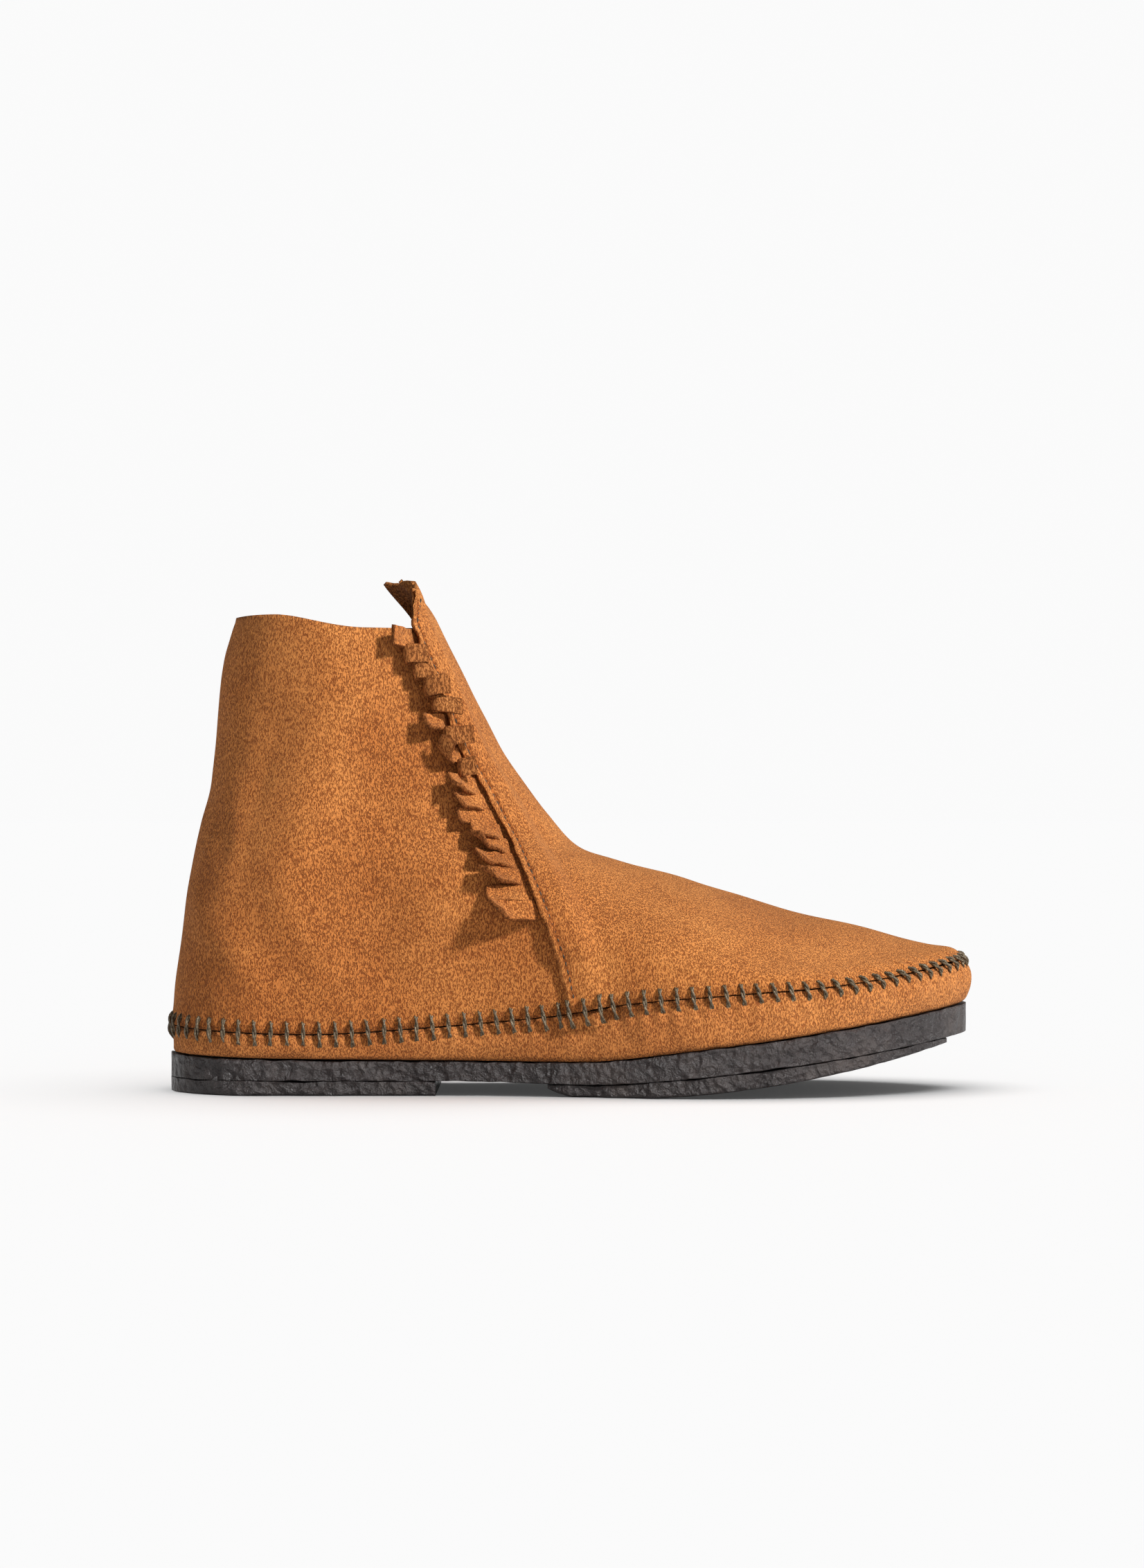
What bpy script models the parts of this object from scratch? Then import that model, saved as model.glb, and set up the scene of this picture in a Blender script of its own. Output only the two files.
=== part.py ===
"""A suede moccasin boot for the right foot, built piece by piece as the maker puts it together.

X runs from the heel (-) to the toe (+), Y from the outer side of the foot (-) to the inner side (+),
and Z up from the ground. Everything is in metres. A sole of three rubber pieces carries a suede
sole wrap. A front panel and a quarter stand on the wrap's rim, joined to it by a whipped seam. The
fringe is sewn into the outer side seam, and a zip closes the inner one.
"""

import math
from bisect import bisect_right
from functools import lru_cache

import bmesh
import bpy
import numpy as np
from mathutils import Vector

# Overall sizes.
SHOE_LENGTH = 0.2545
COLLAR_HEIGHT = 0.1495
BALL_HALF_WIDTH = 0.0438
HEEL_HALF_WIDTH = 0.0298
SHAFT_HALF_WIDTH = 0.0325

# Sole.
WAIST_THICKNESS = 0.0060
HEEL_PAD_THICKNESS = 0.0046
BALL_PAD_THICKNESS = 0.0039
TOE_SPRING = 0.0184
SOLE_HEEL_REACH = 0.030
SOLE_TOE_REACH = 0.048
HEEL_PAD_END = 0.333
BALL_PAD_START = 0.470
BALL_PAD_END = 0.964
PAD_INSET = 0.0012
SOLE_EDGE_BEVEL = 0.0009

# Suede, foam and thread.
SUEDE = 0.0014
FOAM = 0.0045
SOCK = 0.0009
GAP = 0.0003
LAP = 0.0070
RIM_STITCH = 0.0023
THREAD = 0.0006
WHIP_PITCH = 0.0050
WHIP_THREAD = 0.0010
WHIP_SIDE = 0.0004
WHIP_SAMPLES = 720
WHIP_HEEL_LENGTH = 0.0078
WHIP_TOE_LENGTH = 0.0054

# Fringe.
FRINGE_TABS = 18
FRINGE_PITCH = 0.0056
FRINGE_TOP = 0.955
FRINGE_BAND = 0.0053
TAB_ROOT = 0.0006
TAB_LENGTH = 0.0105
TAB_THICKNESS = 0.0012
TAB_SLIT = 0.0009
TAB_TAPER = 0.0005
TAB_STATIONS = 4
TAB_LIFT = math.radians(9)
TAB_CURL = math.radians(11)

# Zip.
ZIP_HALF_OPENING = 0.0050
ZIP_TAPE = 0.0005
ZIP_TAPE_WIDTH = 0.0120
ZIP_FOOT = 0.265
ZIP_HEAD = 0.968
ZIP_FLAT_REACH = 0.0160
COIL_HALF_GAP = 0.0006
COIL_WIDTH = 0.0013
COIL_HEIGHT = 0.0013
SLIDER_LENGTH = 0.0095
SLIDER_HALF_WIDTH = 0.0034
SLIDER_PLATE = 0.0009
SLIDER_FLANGE = 0.0009
SLIDER_WEB = 0.0024
BAIL_LENGTH = 0.0068
BAIL_HEIGHT = 0.0030
BAIL_WIDTH = 0.0014
BAIL_WIRE = 0.0009
ZIP_END = 0.0022
TOP_STOP = 0.0018
BOTTOM_STOP = 0.0028
STOP_PROUD = 0.0002
TAPE_FOOT = 0.075
PULL_LENGTH = 0.0165
PULL_WIDTH = 0.0052
PULL_THICKNESS = 0.0009
PULL_WINDOW = 0.0026
PULL_WINDOW_END = 0.0048
GUARD_TOP = 0.165
GUARD_HALF_WIDTH = 0.0095
ZIP_STITCH = 0.0072

LATERAL, MEDIAL = -1, 1


def smooth_line(knots):
    """A curve through (place, value) pairs that doesn't overshoot them, flat past both ends."""
    places, values = zip(*knots)
    steps = [b - a for a, b in zip(places, places[1:])]
    slopes = [(b - a) / step for a, b, step in zip(values, values[1:], steps)]
    tangents = slopes[:1] + [0.0] * (len(knots) - 2) + slopes[-1:]
    for i in range(1, len(knots) - 1):
        if slopes[i - 1] * slopes[i] > 0:
            before, after = 2 * steps[i] + steps[i - 1], steps[i] + 2 * steps[i - 1]
            tangents[i] = (before + after) / (before / slopes[i - 1] + after / slopes[i])

    def value_at(place):
        place = min(max(place, places[0]), places[-1])
        i = min(bisect_right(places, place) - 1, len(steps) - 1)
        t = (place - places[i]) / steps[i]
        rise = values[i + 1] - values[i]
        bend = (tangents[i] * (1 - t) - tangents[i + 1] * t) * steps[i] - rise * (1 - 2 * t)
        return values[i] + rise * t + t * (1 - t) * bend

    return value_at


def blended(share):
    """0 to 1, easing in and out."""
    share = min(max(share, 0.0), 1.0)
    return share * share * (3 - 2 * share)


def rounded_end(distance, reach):
    """The share of the full width this far in from an end rounded as a quarter ellipse."""
    share = min(max(distance / reach, 0.0), 1.0)
    return math.sqrt(max(0.0, 1 - (1 - share) ** 2))


def x_at(share):
    """The X of a share of the shoe's length, counted from the back of the heel."""
    return (share - 0.5) * SHOE_LENGTH


def share_at(x):
    return x / SHOE_LENGTH + 0.5


# The sole's plan, by share of the length: half width as a share of the ball's or the heel's, and
# how far its middle line lies to the inner side.
SOLE_TOE = 0.9935
SOLE_WIDTH = smooth_line([
    (0.0, HEEL_HALF_WIDTH), (0.15, HEEL_HALF_WIDTH), (0.28, 0.960 * HEEL_HALF_WIDTH),
    (0.38, 0.966 * HEEL_HALF_WIDTH), (0.5, 0.775 * BALL_HALF_WIDTH), (0.6, 0.93 * BALL_HALF_WIDTH),
    (0.68, BALL_HALF_WIDTH), (0.74, 0.995 * BALL_HALF_WIDTH), (0.82, 0.92 * BALL_HALF_WIDTH),
    (0.9, 0.81 * BALL_HALF_WIDTH), (1.0, 0.68 * BALL_HALF_WIDTH),
])
SOLE_MIDDLE = smooth_line([
    (0.0, 0.0), (0.35, -0.0015), (0.5, -0.0026), (0.6, -0.0025), (0.68, -0.0012),
    (0.82, 0.0014), (0.9, 0.0030), (1.0, 0.0055),
])
RIDGE_MIDDLE = smooth_line([(0.3, 0.0), (0.5, 0.0020), (0.62, 0.0040), (0.8, 0.0052), (1.0, 0.0055)])

# The sole's side thickness, and how high the wrap stands on it, by share of the length.
SOLE_THICKNESS = smooth_line([
    (0.0, WAIST_THICKNESS + 0.0014), (0.14, WAIST_THICKNESS + 0.0004), (0.34, WAIST_THICKNESS),
    (0.52, WAIST_THICKNESS + 0.0008), (0.64, WAIST_THICKNESS + 0.0020), (1.0, WAIST_THICKNESS + 0.0030),
])
WRAP_HEIGHT = smooth_line([
    (0.0, 0.0088), (0.17, 0.0082), (0.32, 0.0105), (0.46, 0.0140), (0.57, 0.0172),
    (0.70, 0.0160), (0.82, 0.0141), (0.90, 0.0138), (1.0, 0.0143),
])

# Side profile of the upper by level, which is 0 at the whipped seam and 1 at the collar: the back
# edge's X share, then the front edge's X share and its height, as a share from seam to collar.
TAB_LEVEL = 1.14
BACK_X = smooth_line([
    (0.0, 0.0015), (0.1, 0.0045), (0.2, 0.0108), (0.3, 0.0165), (0.4, 0.0262), (0.5, 0.0385),
    (0.6, 0.0512), (0.7, 0.0577), (0.8, 0.0605), (0.9, 0.0665), (1.0, 0.0780), (TAB_LEVEL, 0.0800),
])
FRONT_X = smooth_line([
    (0.0, 0.9905), (0.03, 0.978), (0.08, 0.946), (0.17, 0.867), (0.27, 0.763), (0.36, 0.659),
    (0.45, 0.555), (0.50, 0.511), (0.58, 0.469), (0.68, 0.424), (0.80, 0.382), (0.90, 0.3535),
    (1.0, 0.3285), (1.04, 0.3195), (1.07, 0.3100), (1.10, 0.2975), (TAB_LEVEL, 0.2790),
])
FRONT_RISE = smooth_line([
    (0.0, 0.0), (0.03, 0.035), (0.08, 0.070), (0.17, 0.147), (0.27, 0.219), (0.36, 0.288),
    (0.45, 0.370), (0.50, 0.413), (0.58, 0.502), (0.68, 0.635), (0.80, 0.789), (0.90, 0.900),
    (1.0, 1.0), (TAB_LEVEL, 1.14),
])
# How far the upper has turned from the foot's plan into the shaft's, and the shaft's half width
# as a share of the named one, by level. The reaches are the lengths of the rounded ends.
SHAFT_MIX = smooth_line([(0.0, 0.0), (0.1, 0.16), (0.2, 0.38), (0.35, 0.75), (0.5, 1.0), (1.0, 1.0)])
SHAFT_TAPER = smooth_line([(0.0, 1.14), (0.2, 1.13), (0.5, 1.05), (0.75, 1.0), (1.0, 0.985)])
BACK_REACH = smooth_line([(0.0, 0.030), (0.3, 0.033), (0.5, 0.041), (0.72, 0.044), (1.0, 0.033)])
FRONT_REACH = smooth_line([
    (0.0, SOLE_TOE_REACH), (0.04, 0.060), (0.15, 0.088), (0.27, 0.090), (0.45, 0.078),
    (0.6, 0.062), (0.8, 0.046), (1.0, 0.034),
])
WRAP_FLARE = 0.0012
WRAP_BULGE = 0.0011
TOE_BULGE = 0.0021

# Where the outer side seam lies, as height share against length share, and the straight zip's ends.
LATERAL_SEAM = smooth_line([
    (0.174, 0.498), (0.264, 0.486), (0.308, 0.479), (0.373, 0.463), (0.472, 0.435), (0.56, 0.4077),
    (0.631, 0.386), (0.713, 0.3585), (0.859, 0.3244), (0.94, 0.304), (0.985, 0.2957), (1.04, 0.3010),
])
ZIP_SEAM = smooth_line([(0.164, 0.4843), (0.99, 0.2850), (1.10, 0.2585)])


def sole_bottom(x):
    """Height of the full sole's underside: level to the ball, then curving up to the toe."""
    waist, ball, toe = x_at(HEEL_PAD_END), x_at(0.52), x_at(SOLE_TOE)
    pad_change = (BALL_PAD_THICKNESS - HEEL_PAD_THICKNESS) * blended((x - waist) / (ball - waist))
    level = HEEL_PAD_THICKNESS + pad_change
    return level + (TOE_SPRING - BALL_PAD_THICKNESS) * max(0.0, (x - ball) / (toe - ball)) ** 1.35


def sole_top(x):
    return sole_bottom(x) + SOLE_THICKNESS(share_at(x))


def ball_pad_bottom(x):
    """Height of the ball pad's underside: up at its back edge, flat on the ground, then rising."""
    start, flat, lift, end = x_at(BALL_PAD_START), x_at(0.508), x_at(0.571), x_at(BALL_PAD_END)
    back = (BALL_PAD_THICKNESS - 0.0012) * (1 - min(max((x - start) / (flat - start), 0.0), 1.0)) ** 2
    return back + (TOE_SPRING - 0.0029) * max(0.0, (x - lift) / (end - lift)) ** 1.7


def sole_half(x, inset=0.0):
    """Half width of the sole's plan, drawn in by inset."""
    back, front = x_at(0) + inset, x_at(SOLE_TOE) - inset
    ends = rounded_end(x - back, SOLE_HEEL_REACH) * rounded_end(front - x, SOLE_TOE_REACH)
    return max(0.0, (SOLE_WIDTH(share_at(x)) - inset) * ends)


def seam_height(x):
    """Height of the whipped seam."""
    return sole_top(x) + WRAP_HEIGHT(share_at(x))


def level_ends(level):
    """(X, Z) of a level's back and front ends."""
    back_x, front_x = x_at(BACK_X(level)), x_at(FRONT_X(level))
    back_z = seam_height(back_x) + level * (COLLAR_HEIGHT - seam_height(back_x))
    front_z = seam_height(front_x) + FRONT_RISE(level) * (COLLAR_HEIGHT - seam_height(front_x))
    return (back_x, back_z), (front_x, front_z)


@lru_cache(maxsize=None)
def level_shape(level):
    """Everything that shapes one level: its ends, its turn from foot to shaft, and its roundings."""
    shaft_half = SHAFT_HALF_WIDTH * SHAFT_TAPER(level)
    return level_ends(level), SHAFT_MIX(level), shaft_half, BACK_REACH(level), FRONT_REACH(level)


def last_point(level, angle):
    """A point of the suede's outer face on one level. The angle is 0 at the back of the heel and pi
    at the front, positive along the inner side."""
    ends, mix, shaft_half, back_reach, front_reach = level_shape(level)
    (back_x, back_z), (front_x, front_z) = ends
    share = (1 - math.cos(angle)) / 2
    x = back_x + (front_x - back_x) * share
    z = back_z + (front_z - back_z) * share
    if level < 0.4:
        (heel_x, heel_z), (toe_x, toe_z) = level_shape(0)[0]
        straight = heel_z + (toe_z - heel_z) * (x - heel_x) / (toe_x - heel_x)
        z += (seam_height(x) - straight) * blended(1 - level / 0.4)
    place = share_at(x)
    half = (1 - mix) * (SOLE_WIDTH(place) + WRAP_FLARE) + mix * shaft_half
    half *= rounded_end(x - back_x, back_reach) * rounded_end(front_x - x, front_reach)
    middle = (1 - mix) * SOLE_MIDDLE(place) + mix * RIDGE_MIDDLE(place)
    return Vector((x, middle + math.copysign(half, math.sin(angle)), z))


@lru_cache(maxsize=None)
def angle_on(level, seam, side):
    """The angle at which a seam, given as height share against length share, crosses a level."""
    low, high = 0.0, math.pi
    for _ in range(30):
        angle = (low + high) / 2
        point = last_point(level, angle)
        if point.x < x_at(seam(point.z / COLLAR_HEIGHT)):
            low = angle
        else:
            high = angle
    return side * angle


def zip_point(level):
    return last_point(level, angle_on(level, ZIP_SEAM, MEDIAL))


def way_out(surface, level, angle):
    """The outward direction of a surface given by level and angle."""
    step = 0.01
    up = surface(level + step, angle) - surface(max(0.0, level - step), angle)
    along = surface(level, angle + step) - surface(level, angle - step)
    return up.cross(along).normalized()


@lru_cache(maxsize=None)
def zip_plane():
    """The flat strip the zip lies in: a point at its foot, one at its head, and its way out."""
    foot, head = zip_point(ZIP_FOOT / 2), zip_point(1.0)
    levels = [ZIP_FOOT + (1 - ZIP_FOOT) * i / 8 for i in range(9)]
    normals = [way_out(last_point, level, angle_on(level, ZIP_SEAM, MEDIAL)) for level in levels]
    line, out = (head - foot).normalized(), sum(normals, Vector())
    return foot, head, (out - out.dot(line) * line).normalized()


def suede_point(level, angle, offset=0.0):
    """A point of the suede's outer face, which the zip's tapes hold flat, raised by offset."""
    point = last_point(level, angle)
    if math.sin(angle) > 0:
        foot, head, out = zip_plane()
        zip_angle = angle_on(level, ZIP_SEAM, MEDIAL)
        away = abs(point.x - zip_point(level).x)
        held = blended(1.45 - away / ZIP_FLAT_REACH)
        held *= blended(1.7 * math.sin(angle) / math.sin(zip_angle))
        held *= blended((level - 0.05) / (ZIP_FOOT - 0.08)) * blended(1 - (level - 1) / 0.12)
        point.y -= held * (point - foot).dot(out) / out.y
    if offset:
        point += offset * suede_normal(level, angle)
    return point


def suede_normal(level, angle):
    return way_out(suede_point, level, angle)


@lru_cache(maxsize=None)
def angle_past(level, angle, distance):
    """The angle this far from another along a level, forwards where the distance is positive."""
    turn = math.copysign(0.015, angle) * math.copysign(1.0, distance)
    point, left = suede_point(level, angle), abs(distance)
    while True:
        ahead = suede_point(level, angle + turn)
        length = (ahead - point).length
        if length >= left:
            return angle + turn * left / length
        angle, point, left = angle + turn, ahead, left - length


# ---------------------------------------------------------------------------------------------
# Objects


def remove_everything():
    for obj in list(bpy.data.objects):
        bpy.data.objects.remove(obj)


def material(name, colour, roughness, metallic=0.0):
    made = bpy.data.materials.get(name)
    if made is None:
        made = bpy.data.materials.new(name)
        made.use_nodes = True
        surface = made.node_tree.nodes["Principled BSDF"]
        surface.inputs["Base Color"].default_value = (*colour, 1)
        surface.inputs["Roughness"].default_value = roughness
        surface.inputs["Metallic"].default_value = metallic
        made.diffuse_color = (*colour, 1)
    return made


def suede_material():
    return material("suede", (0.45, 0.17, 0.05), 0.95)


def rubber_material():
    return material("rubber", (0.045, 0.036, 0.034), 0.5)


def thread_material():
    return material("waxed_thread", (0.16, 0.11, 0.06), 0.6)


def tape_material():
    return material("zip_tape", (0.12, 0.06, 0.03), 0.9)


def metal_material():
    return material("zip_metal", (0.35, 0.27, 0.16), 0.35, 1.0)


def foam_material():
    return material("foam", (0.75, 0.70, 0.60), 0.9)


def sock_material():
    return material("sock_cloth", (0.36, 0.27, 0.18), 0.95)


def new_object(name, points, faces, surface, smooth=True, face_outwards=True):
    mesh = bpy.data.meshes.new(name)
    mesh.from_pydata([tuple(p) for p in points], [], faces)
    shell = bmesh.new()
    shell.from_mesh(mesh)
    bmesh.ops.remove_doubles(shell, verts=shell.verts, dist=1e-6)
    if face_outwards:
        bmesh.ops.recalc_face_normals(shell, faces=shell.faces)
    shell.to_mesh(mesh)
    shell.free()
    if smooth:
        mesh.shade_smooth()
        mesh.set_sharp_from_angle(angle=math.radians(40))
    mesh.materials.append(surface)
    obj = bpy.data.objects.new(name, mesh)
    bpy.context.scene.collection.objects.link(obj)
    return obj


def grid_faces(rows, columns, around=False):
    """Quads of a grid whose points are listed row by row, closed across its columns if around."""
    last = columns if around else columns - 1
    return [
        (r * columns + c, r * columns + (c + 1) % columns,
         (r + 1) * columns + (c + 1) % columns, (r + 1) * columns + c)
        for r in range(rows - 1) for c in range(last)
    ]


def tube(name, rings, surface, closed=False, smooth=False):
    """A solid through rings of points: a bar with capped ends, or an endless band if closed."""
    count = len(rings[0])
    points = [point for ring in rings for point in ring]
    faces = grid_faces(len(rings), count, around=True)
    if closed:
        start = (len(rings) - 1) * count
        faces += [(start + c, start + (c + 1) % count, (c + 1) % count, c) for c in range(count)]
    else:
        faces += [tuple(range(count)), tuple(range(len(points) - count, len(points)))]
    return new_object(name, points, faces, surface, smooth)


def sheet(name, rows, thickness, surface):
    """A sheet thickened inwards from rows of points, listed upwards, that run round the shoe from
    the inner side by the heel to the outer side, or from the outer side by the toe to the inner."""
    points, faces = [point for row in rows for point in row], grid_faces(len(rows), len(rows[0]))
    add_thickness(new_object(name, points, faces, surface, face_outwards=False), thickness)


def add_thickness(obj, thickness):
    thicken = obj.modifiers.new("thickness", "SOLIDIFY")
    thicken.thickness = thickness
    thicken.offset = -1
    thicken.use_even_offset = True


def box_points(centre, along, across, out, sizes):
    """The eight corners of a box given by half sizes along three directions."""
    return [
        centre + i * sizes[0] * along + j * sizes[1] * across + k * sizes[2] * out
        for i in (-1, 1) for j in (-1, 1) for k in (-1, 1)
    ]


BOX_FACES = [(0, 1, 3, 2), (4, 6, 7, 5), (0, 4, 5, 1), (2, 3, 7, 6), (0, 2, 6, 4), (1, 5, 7, 3)]


# ---------------------------------------------------------------------------------------------
# Sole and footbed


def plate(name, start, end, inset, bottom, top, bevel, surface, stations=26):
    """A flat piece of the sole's plan between two shares of the length, with bevelled edges."""
    first, last = max(x_at(start), x_at(0) + inset), min(x_at(end), x_at(SOLE_TOE) - inset)
    rings = []
    for i in range(stations + 1):
        share = (1 - math.cos(math.pi * i / stations)) / 2
        x = min(max(first + (last - first) * share, first + 1e-5), last - 1e-5)
        half, middle = sole_half(x, inset), SOLE_MIDDLE(share_at(x))
        edge = min(bevel, 0.4 * half, 0.4 * (top(x) - bottom(x)))
        section = [(-half + edge, bottom(x)), (-half, bottom(x) + edge), (-half, top(x)),
                   (half, top(x)), (half, bottom(x) + edge), (half - edge, bottom(x))]
        rings.append([Vector((x, middle + y, z)) for y, z in section])
    return tube(name, rings, surface, smooth=True)


def make_sole():
    plate("outsole", 0.0, SOLE_TOE, 0.0, sole_bottom, sole_top, SOLE_EDGE_BEVEL, rubber_material(), 34)
    plate("heel_pad", 0.0, HEEL_PAD_END, 0.0, lambda x: 0.0, lambda x: sole_bottom(x) - GAP,
          SOLE_EDGE_BEVEL, rubber_material(), 18)
    plate("ball_pad", BALL_PAD_START, BALL_PAD_END, PAD_INSET, ball_pad_bottom,
          lambda x: sole_bottom(x) - GAP, SOLE_EDGE_BEVEL, rubber_material(), 24)


def wrap_point(share, angle):
    """A point of the sole wrap's outer face: share 0 on the outsole's edge, 1 at the whipped seam."""
    swell = math.sin(math.pi * share)
    back = x_at(0) + (x_at(BACK_X(0)) - x_at(0)) * share + 0.0006 * (1 - share) - 0.0003 * swell
    low_front, high_front = x_at(SOLE_TOE) - 0.0006, x_at(FRONT_X(0))
    front = low_front + (high_front - low_front) * share + TOE_BULGE * swell
    x = back + (front - back) * (1 - math.cos(angle)) / 2
    half = SOLE_WIDTH(share_at(x)) - 0.0006 + (WRAP_FLARE + 0.0006) * share + WRAP_BULGE * swell
    half *= rounded_end(x - back, SOLE_HEEL_REACH) * rounded_end(front - x, SOLE_TOE_REACH)
    low = sole_top(x) + GAP
    z = low + (seam_height(x) - GAP - low) * share
    return Vector((x, SOLE_MIDDLE(share_at(x)) + math.copysign(half, angle), z))


def make_sole_wrap():
    """The suede pan: a bottom that lies on the outsole, and sides up to the whipped seam."""
    halves, across = 26, 4
    angles = [math.pi * (i + 0.5) / halves for i in range(halves)]
    around = [-a for a in reversed(angles)] + angles
    rows = [[wrap_point(share, a) for a in around] for share in (1.0, 0.5, 0.0)]
    points = [point for row in rows for point in row]
    faces = grid_faces(len(rows), len(around), around=True)
    rim = 2 * len(around)
    lateral = [rim + halves - 1 - i for i in range(halves)]
    medial = [rim + halves + i for i in range(halves)]
    strips = []
    for left, right in zip(lateral, medial):
        strip = [left]
        for step in range(1, across):
            points.append(points[left].lerp(points[right], step / across))
            strip.append(len(points) - 1)
        strips.append(strip + [right])
    for near, far in zip(strips, strips[1:]):
        faces += [(near[i], near[i + 1], far[i + 1], far[i]) for i in range(across)]
    # The heel and toe ends of the bottom close onto the rim's own first and last points.
    faces += [tuple(strips[0]), tuple(strips[-1])]
    obj = new_object("sole_wrap", points, faces, suede_material())
    if min(obj.data.polygons, key=lambda face: face.center.z).normal.z > 0:
        obj.data.flip_normals()
    add_thickness(obj, SUEDE)


def make_footbed():
    inset = 0.0006 + SUEDE + 2 * GAP + 0.0006
    foam_bottom = lambda x: sole_top(x) + GAP + SUEDE + GAP
    plate("insole_foam", 0.0, SOLE_TOE, inset, foam_bottom, lambda x: foam_bottom(x) + FOAM,
          0.0005, foam_material(), 28)
    sock_bottom = lambda x: foam_bottom(x) + FOAM + GAP
    plate("sock_liner", 0.0, SOLE_TOE, inset, sock_bottom, lambda x: sock_bottom(x) + SOCK,
          0.0002, sock_material(), 28)


# ---------------------------------------------------------------------------------------------
# Upper

FRINGE_FOOT_LEVEL = 0.20
RIM_TURN = 0.105


def lateral_edge(level):
    return angle_on(level, LATERAL_SEAM, LATERAL)


def medial_edge(level):
    return angle_on(level, ZIP_SEAM, MEDIAL)


def band_raise(level):
    """How much thicker the outer side seam is where the fringe's band lies in it."""
    return (TAB_THICKNESS + GAP) * blended((level - FRINGE_FOOT_LEVEL + 0.07) / 0.06)


def lap_offset(level, distance):
    """Outer face of the front panel over the lap, this far in from its outer edge."""
    raised = SUEDE + 1.6 * GAP + band_raise(level)
    return raised * (1 - blended((distance - LAP - 0.0005) / 0.008))


def rim_level(angle):
    """The level an upper panel starts at, high enough for its inner edge to clear the wrap's."""
    slope = max(0.0, suede_normal(0.02, angle).z)
    return (2 * GAP + 1.2 * SUEDE * slope) / (COLLAR_HEIGHT - seam_height(suede_point(0.0, angle).x))


def quarter_top(share):
    """The level of the quarter's rim: highest at the back, a little lower towards the front."""
    return 1 - 0.027 * blended((share - 0.3) / 0.3)


def make_quarter():
    """The rear panel, from under the front panel's outer edge round the heel to the zip."""
    rows, columns = 14, 11
    lateral_steps = [LAP, LAP / 2, 0.0, -0.006, -0.013]
    grid = []
    for r in range(rows + 1):
        row = []
        for side, steps, edge in ((LATERAL, lateral_steps, lateral_edge),
                                  (MEDIAL, [-ZIP_HALF_OPENING, -0.009, -0.014], medial_edge)):
            arm = []
            for k in range(len(steps) + columns):
                turn = min(1.0, max(0.0, (k - len(steps) + 1) / columns))
                low, top = rim_level(edge(0.0) * (1 - turn)), quarter_top(0.8 * (1 - turn))
                level = low + (top - low) * r / rows
                if k < len(steps):
                    angle = angle_past(level, edge(level), steps[k])
                else:
                    angle = angle_past(level, edge(level), steps[-1]) * (1 - turn)
                arm.append(suede_point(level, angle))
            row.append(arm)
        grid.append(row[1] + row[0][:-1][::-1])
    sheet("quarter", grid, SUEDE, suede_material())


TAB_TOP = smooth_line([(-1.0, 1.050), (-0.8, 1.068), (-0.5, 1.090), (0.0, 1.102), (0.6, 1.108), (1.0, 1.122)])
STEP_SHARE = 0.17


def panel_angle(level, edge, steps, k):
    """The angle of a step in from a panel's edge, kept from crowding the ridge where the tab narrows."""
    reach = abs(edge) + STEP_SHARE * (k + 2 * (steps[0] > 0)) * (math.pi - abs(edge))
    return math.copysign(min(abs(angle_past(level, edge, steps[k] + 1e-7)), reach), edge)


def make_front_panel():
    """Vamp, shin and top tab in one piece. Its outer edge laps over the quarter and the fringe."""
    rows, columns = 17, 9
    lap_steps = [0.0, LAP / 2, LAP + 0.0005, LAP + 0.0045, LAP + 0.0085]
    zip_steps = [ZIP_HALF_OPENING, 0.009, 0.014]
    grid = []
    for r in range(rows + 1):
        row = []
        for side, steps, edge in ((LATERAL, lap_steps, lateral_edge), (MEDIAL, zip_steps, medial_edge)):
            arm = []
            for k in range(len(steps) + columns):
                turn = min(1.0, max(0.0, (k - len(steps) + 1) / columns))
                low = rim_level(edge(0.0) + (side * math.pi - edge(0.0)) * turn)
                level = low + (TAB_TOP(side * (1 - turn)) - low) * r / rows
                start = panel_angle(level, edge(level), steps, min(k, len(steps) - 1))
                angle = start + (side * math.pi - start) * turn
                offset = lap_offset(level, steps[k]) if side == LATERAL and k < len(steps) else 0.0
                arm.append(suede_point(level, angle, offset))
            row.append(arm)
        grid.append(row[0] + row[1][:-1][::-1])
    sheet("front_panel", grid, SUEDE, suede_material())


def seam_levels(count, low, high):
    return [low + (high - low) * i / (count - 1) for i in range(count)]


def strip_on_seam(name, edge, distance, offset, width, thickness, levels, surface):
    """A narrow strip that follows a seam on the suede, this far past the edge and out from the face."""
    rings = []
    for level in levels:
        ring = []
        for step, height in ((-1, 0), (1, 0), (1, 1), (-1, 1)):
            angle = angle_past(level, edge(level), distance + step * width / 2)
            ring.append(suede_point(level, angle, offset(level) + height * thickness))
        rings.append(ring)
    return tube(name, rings, surface)


def make_seam_threads():
    over_lap = lambda level: lap_offset(level, RIM_STITCH) + GAP
    strip_on_seam("rim_thread", lateral_edge, RIM_STITCH, over_lap, THREAD, THREAD,
                  seam_levels(22, 0.03, 1.03), thread_material())
    for name, distance in (("zip_thread_front", ZIP_STITCH), ("zip_thread_rear", -ZIP_STITCH)):
        strip_on_seam(name, medial_edge, distance, lambda level: GAP, THREAD, THREAD,
                      seam_levels(16, 0.20, 0.955), thread_material())


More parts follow.
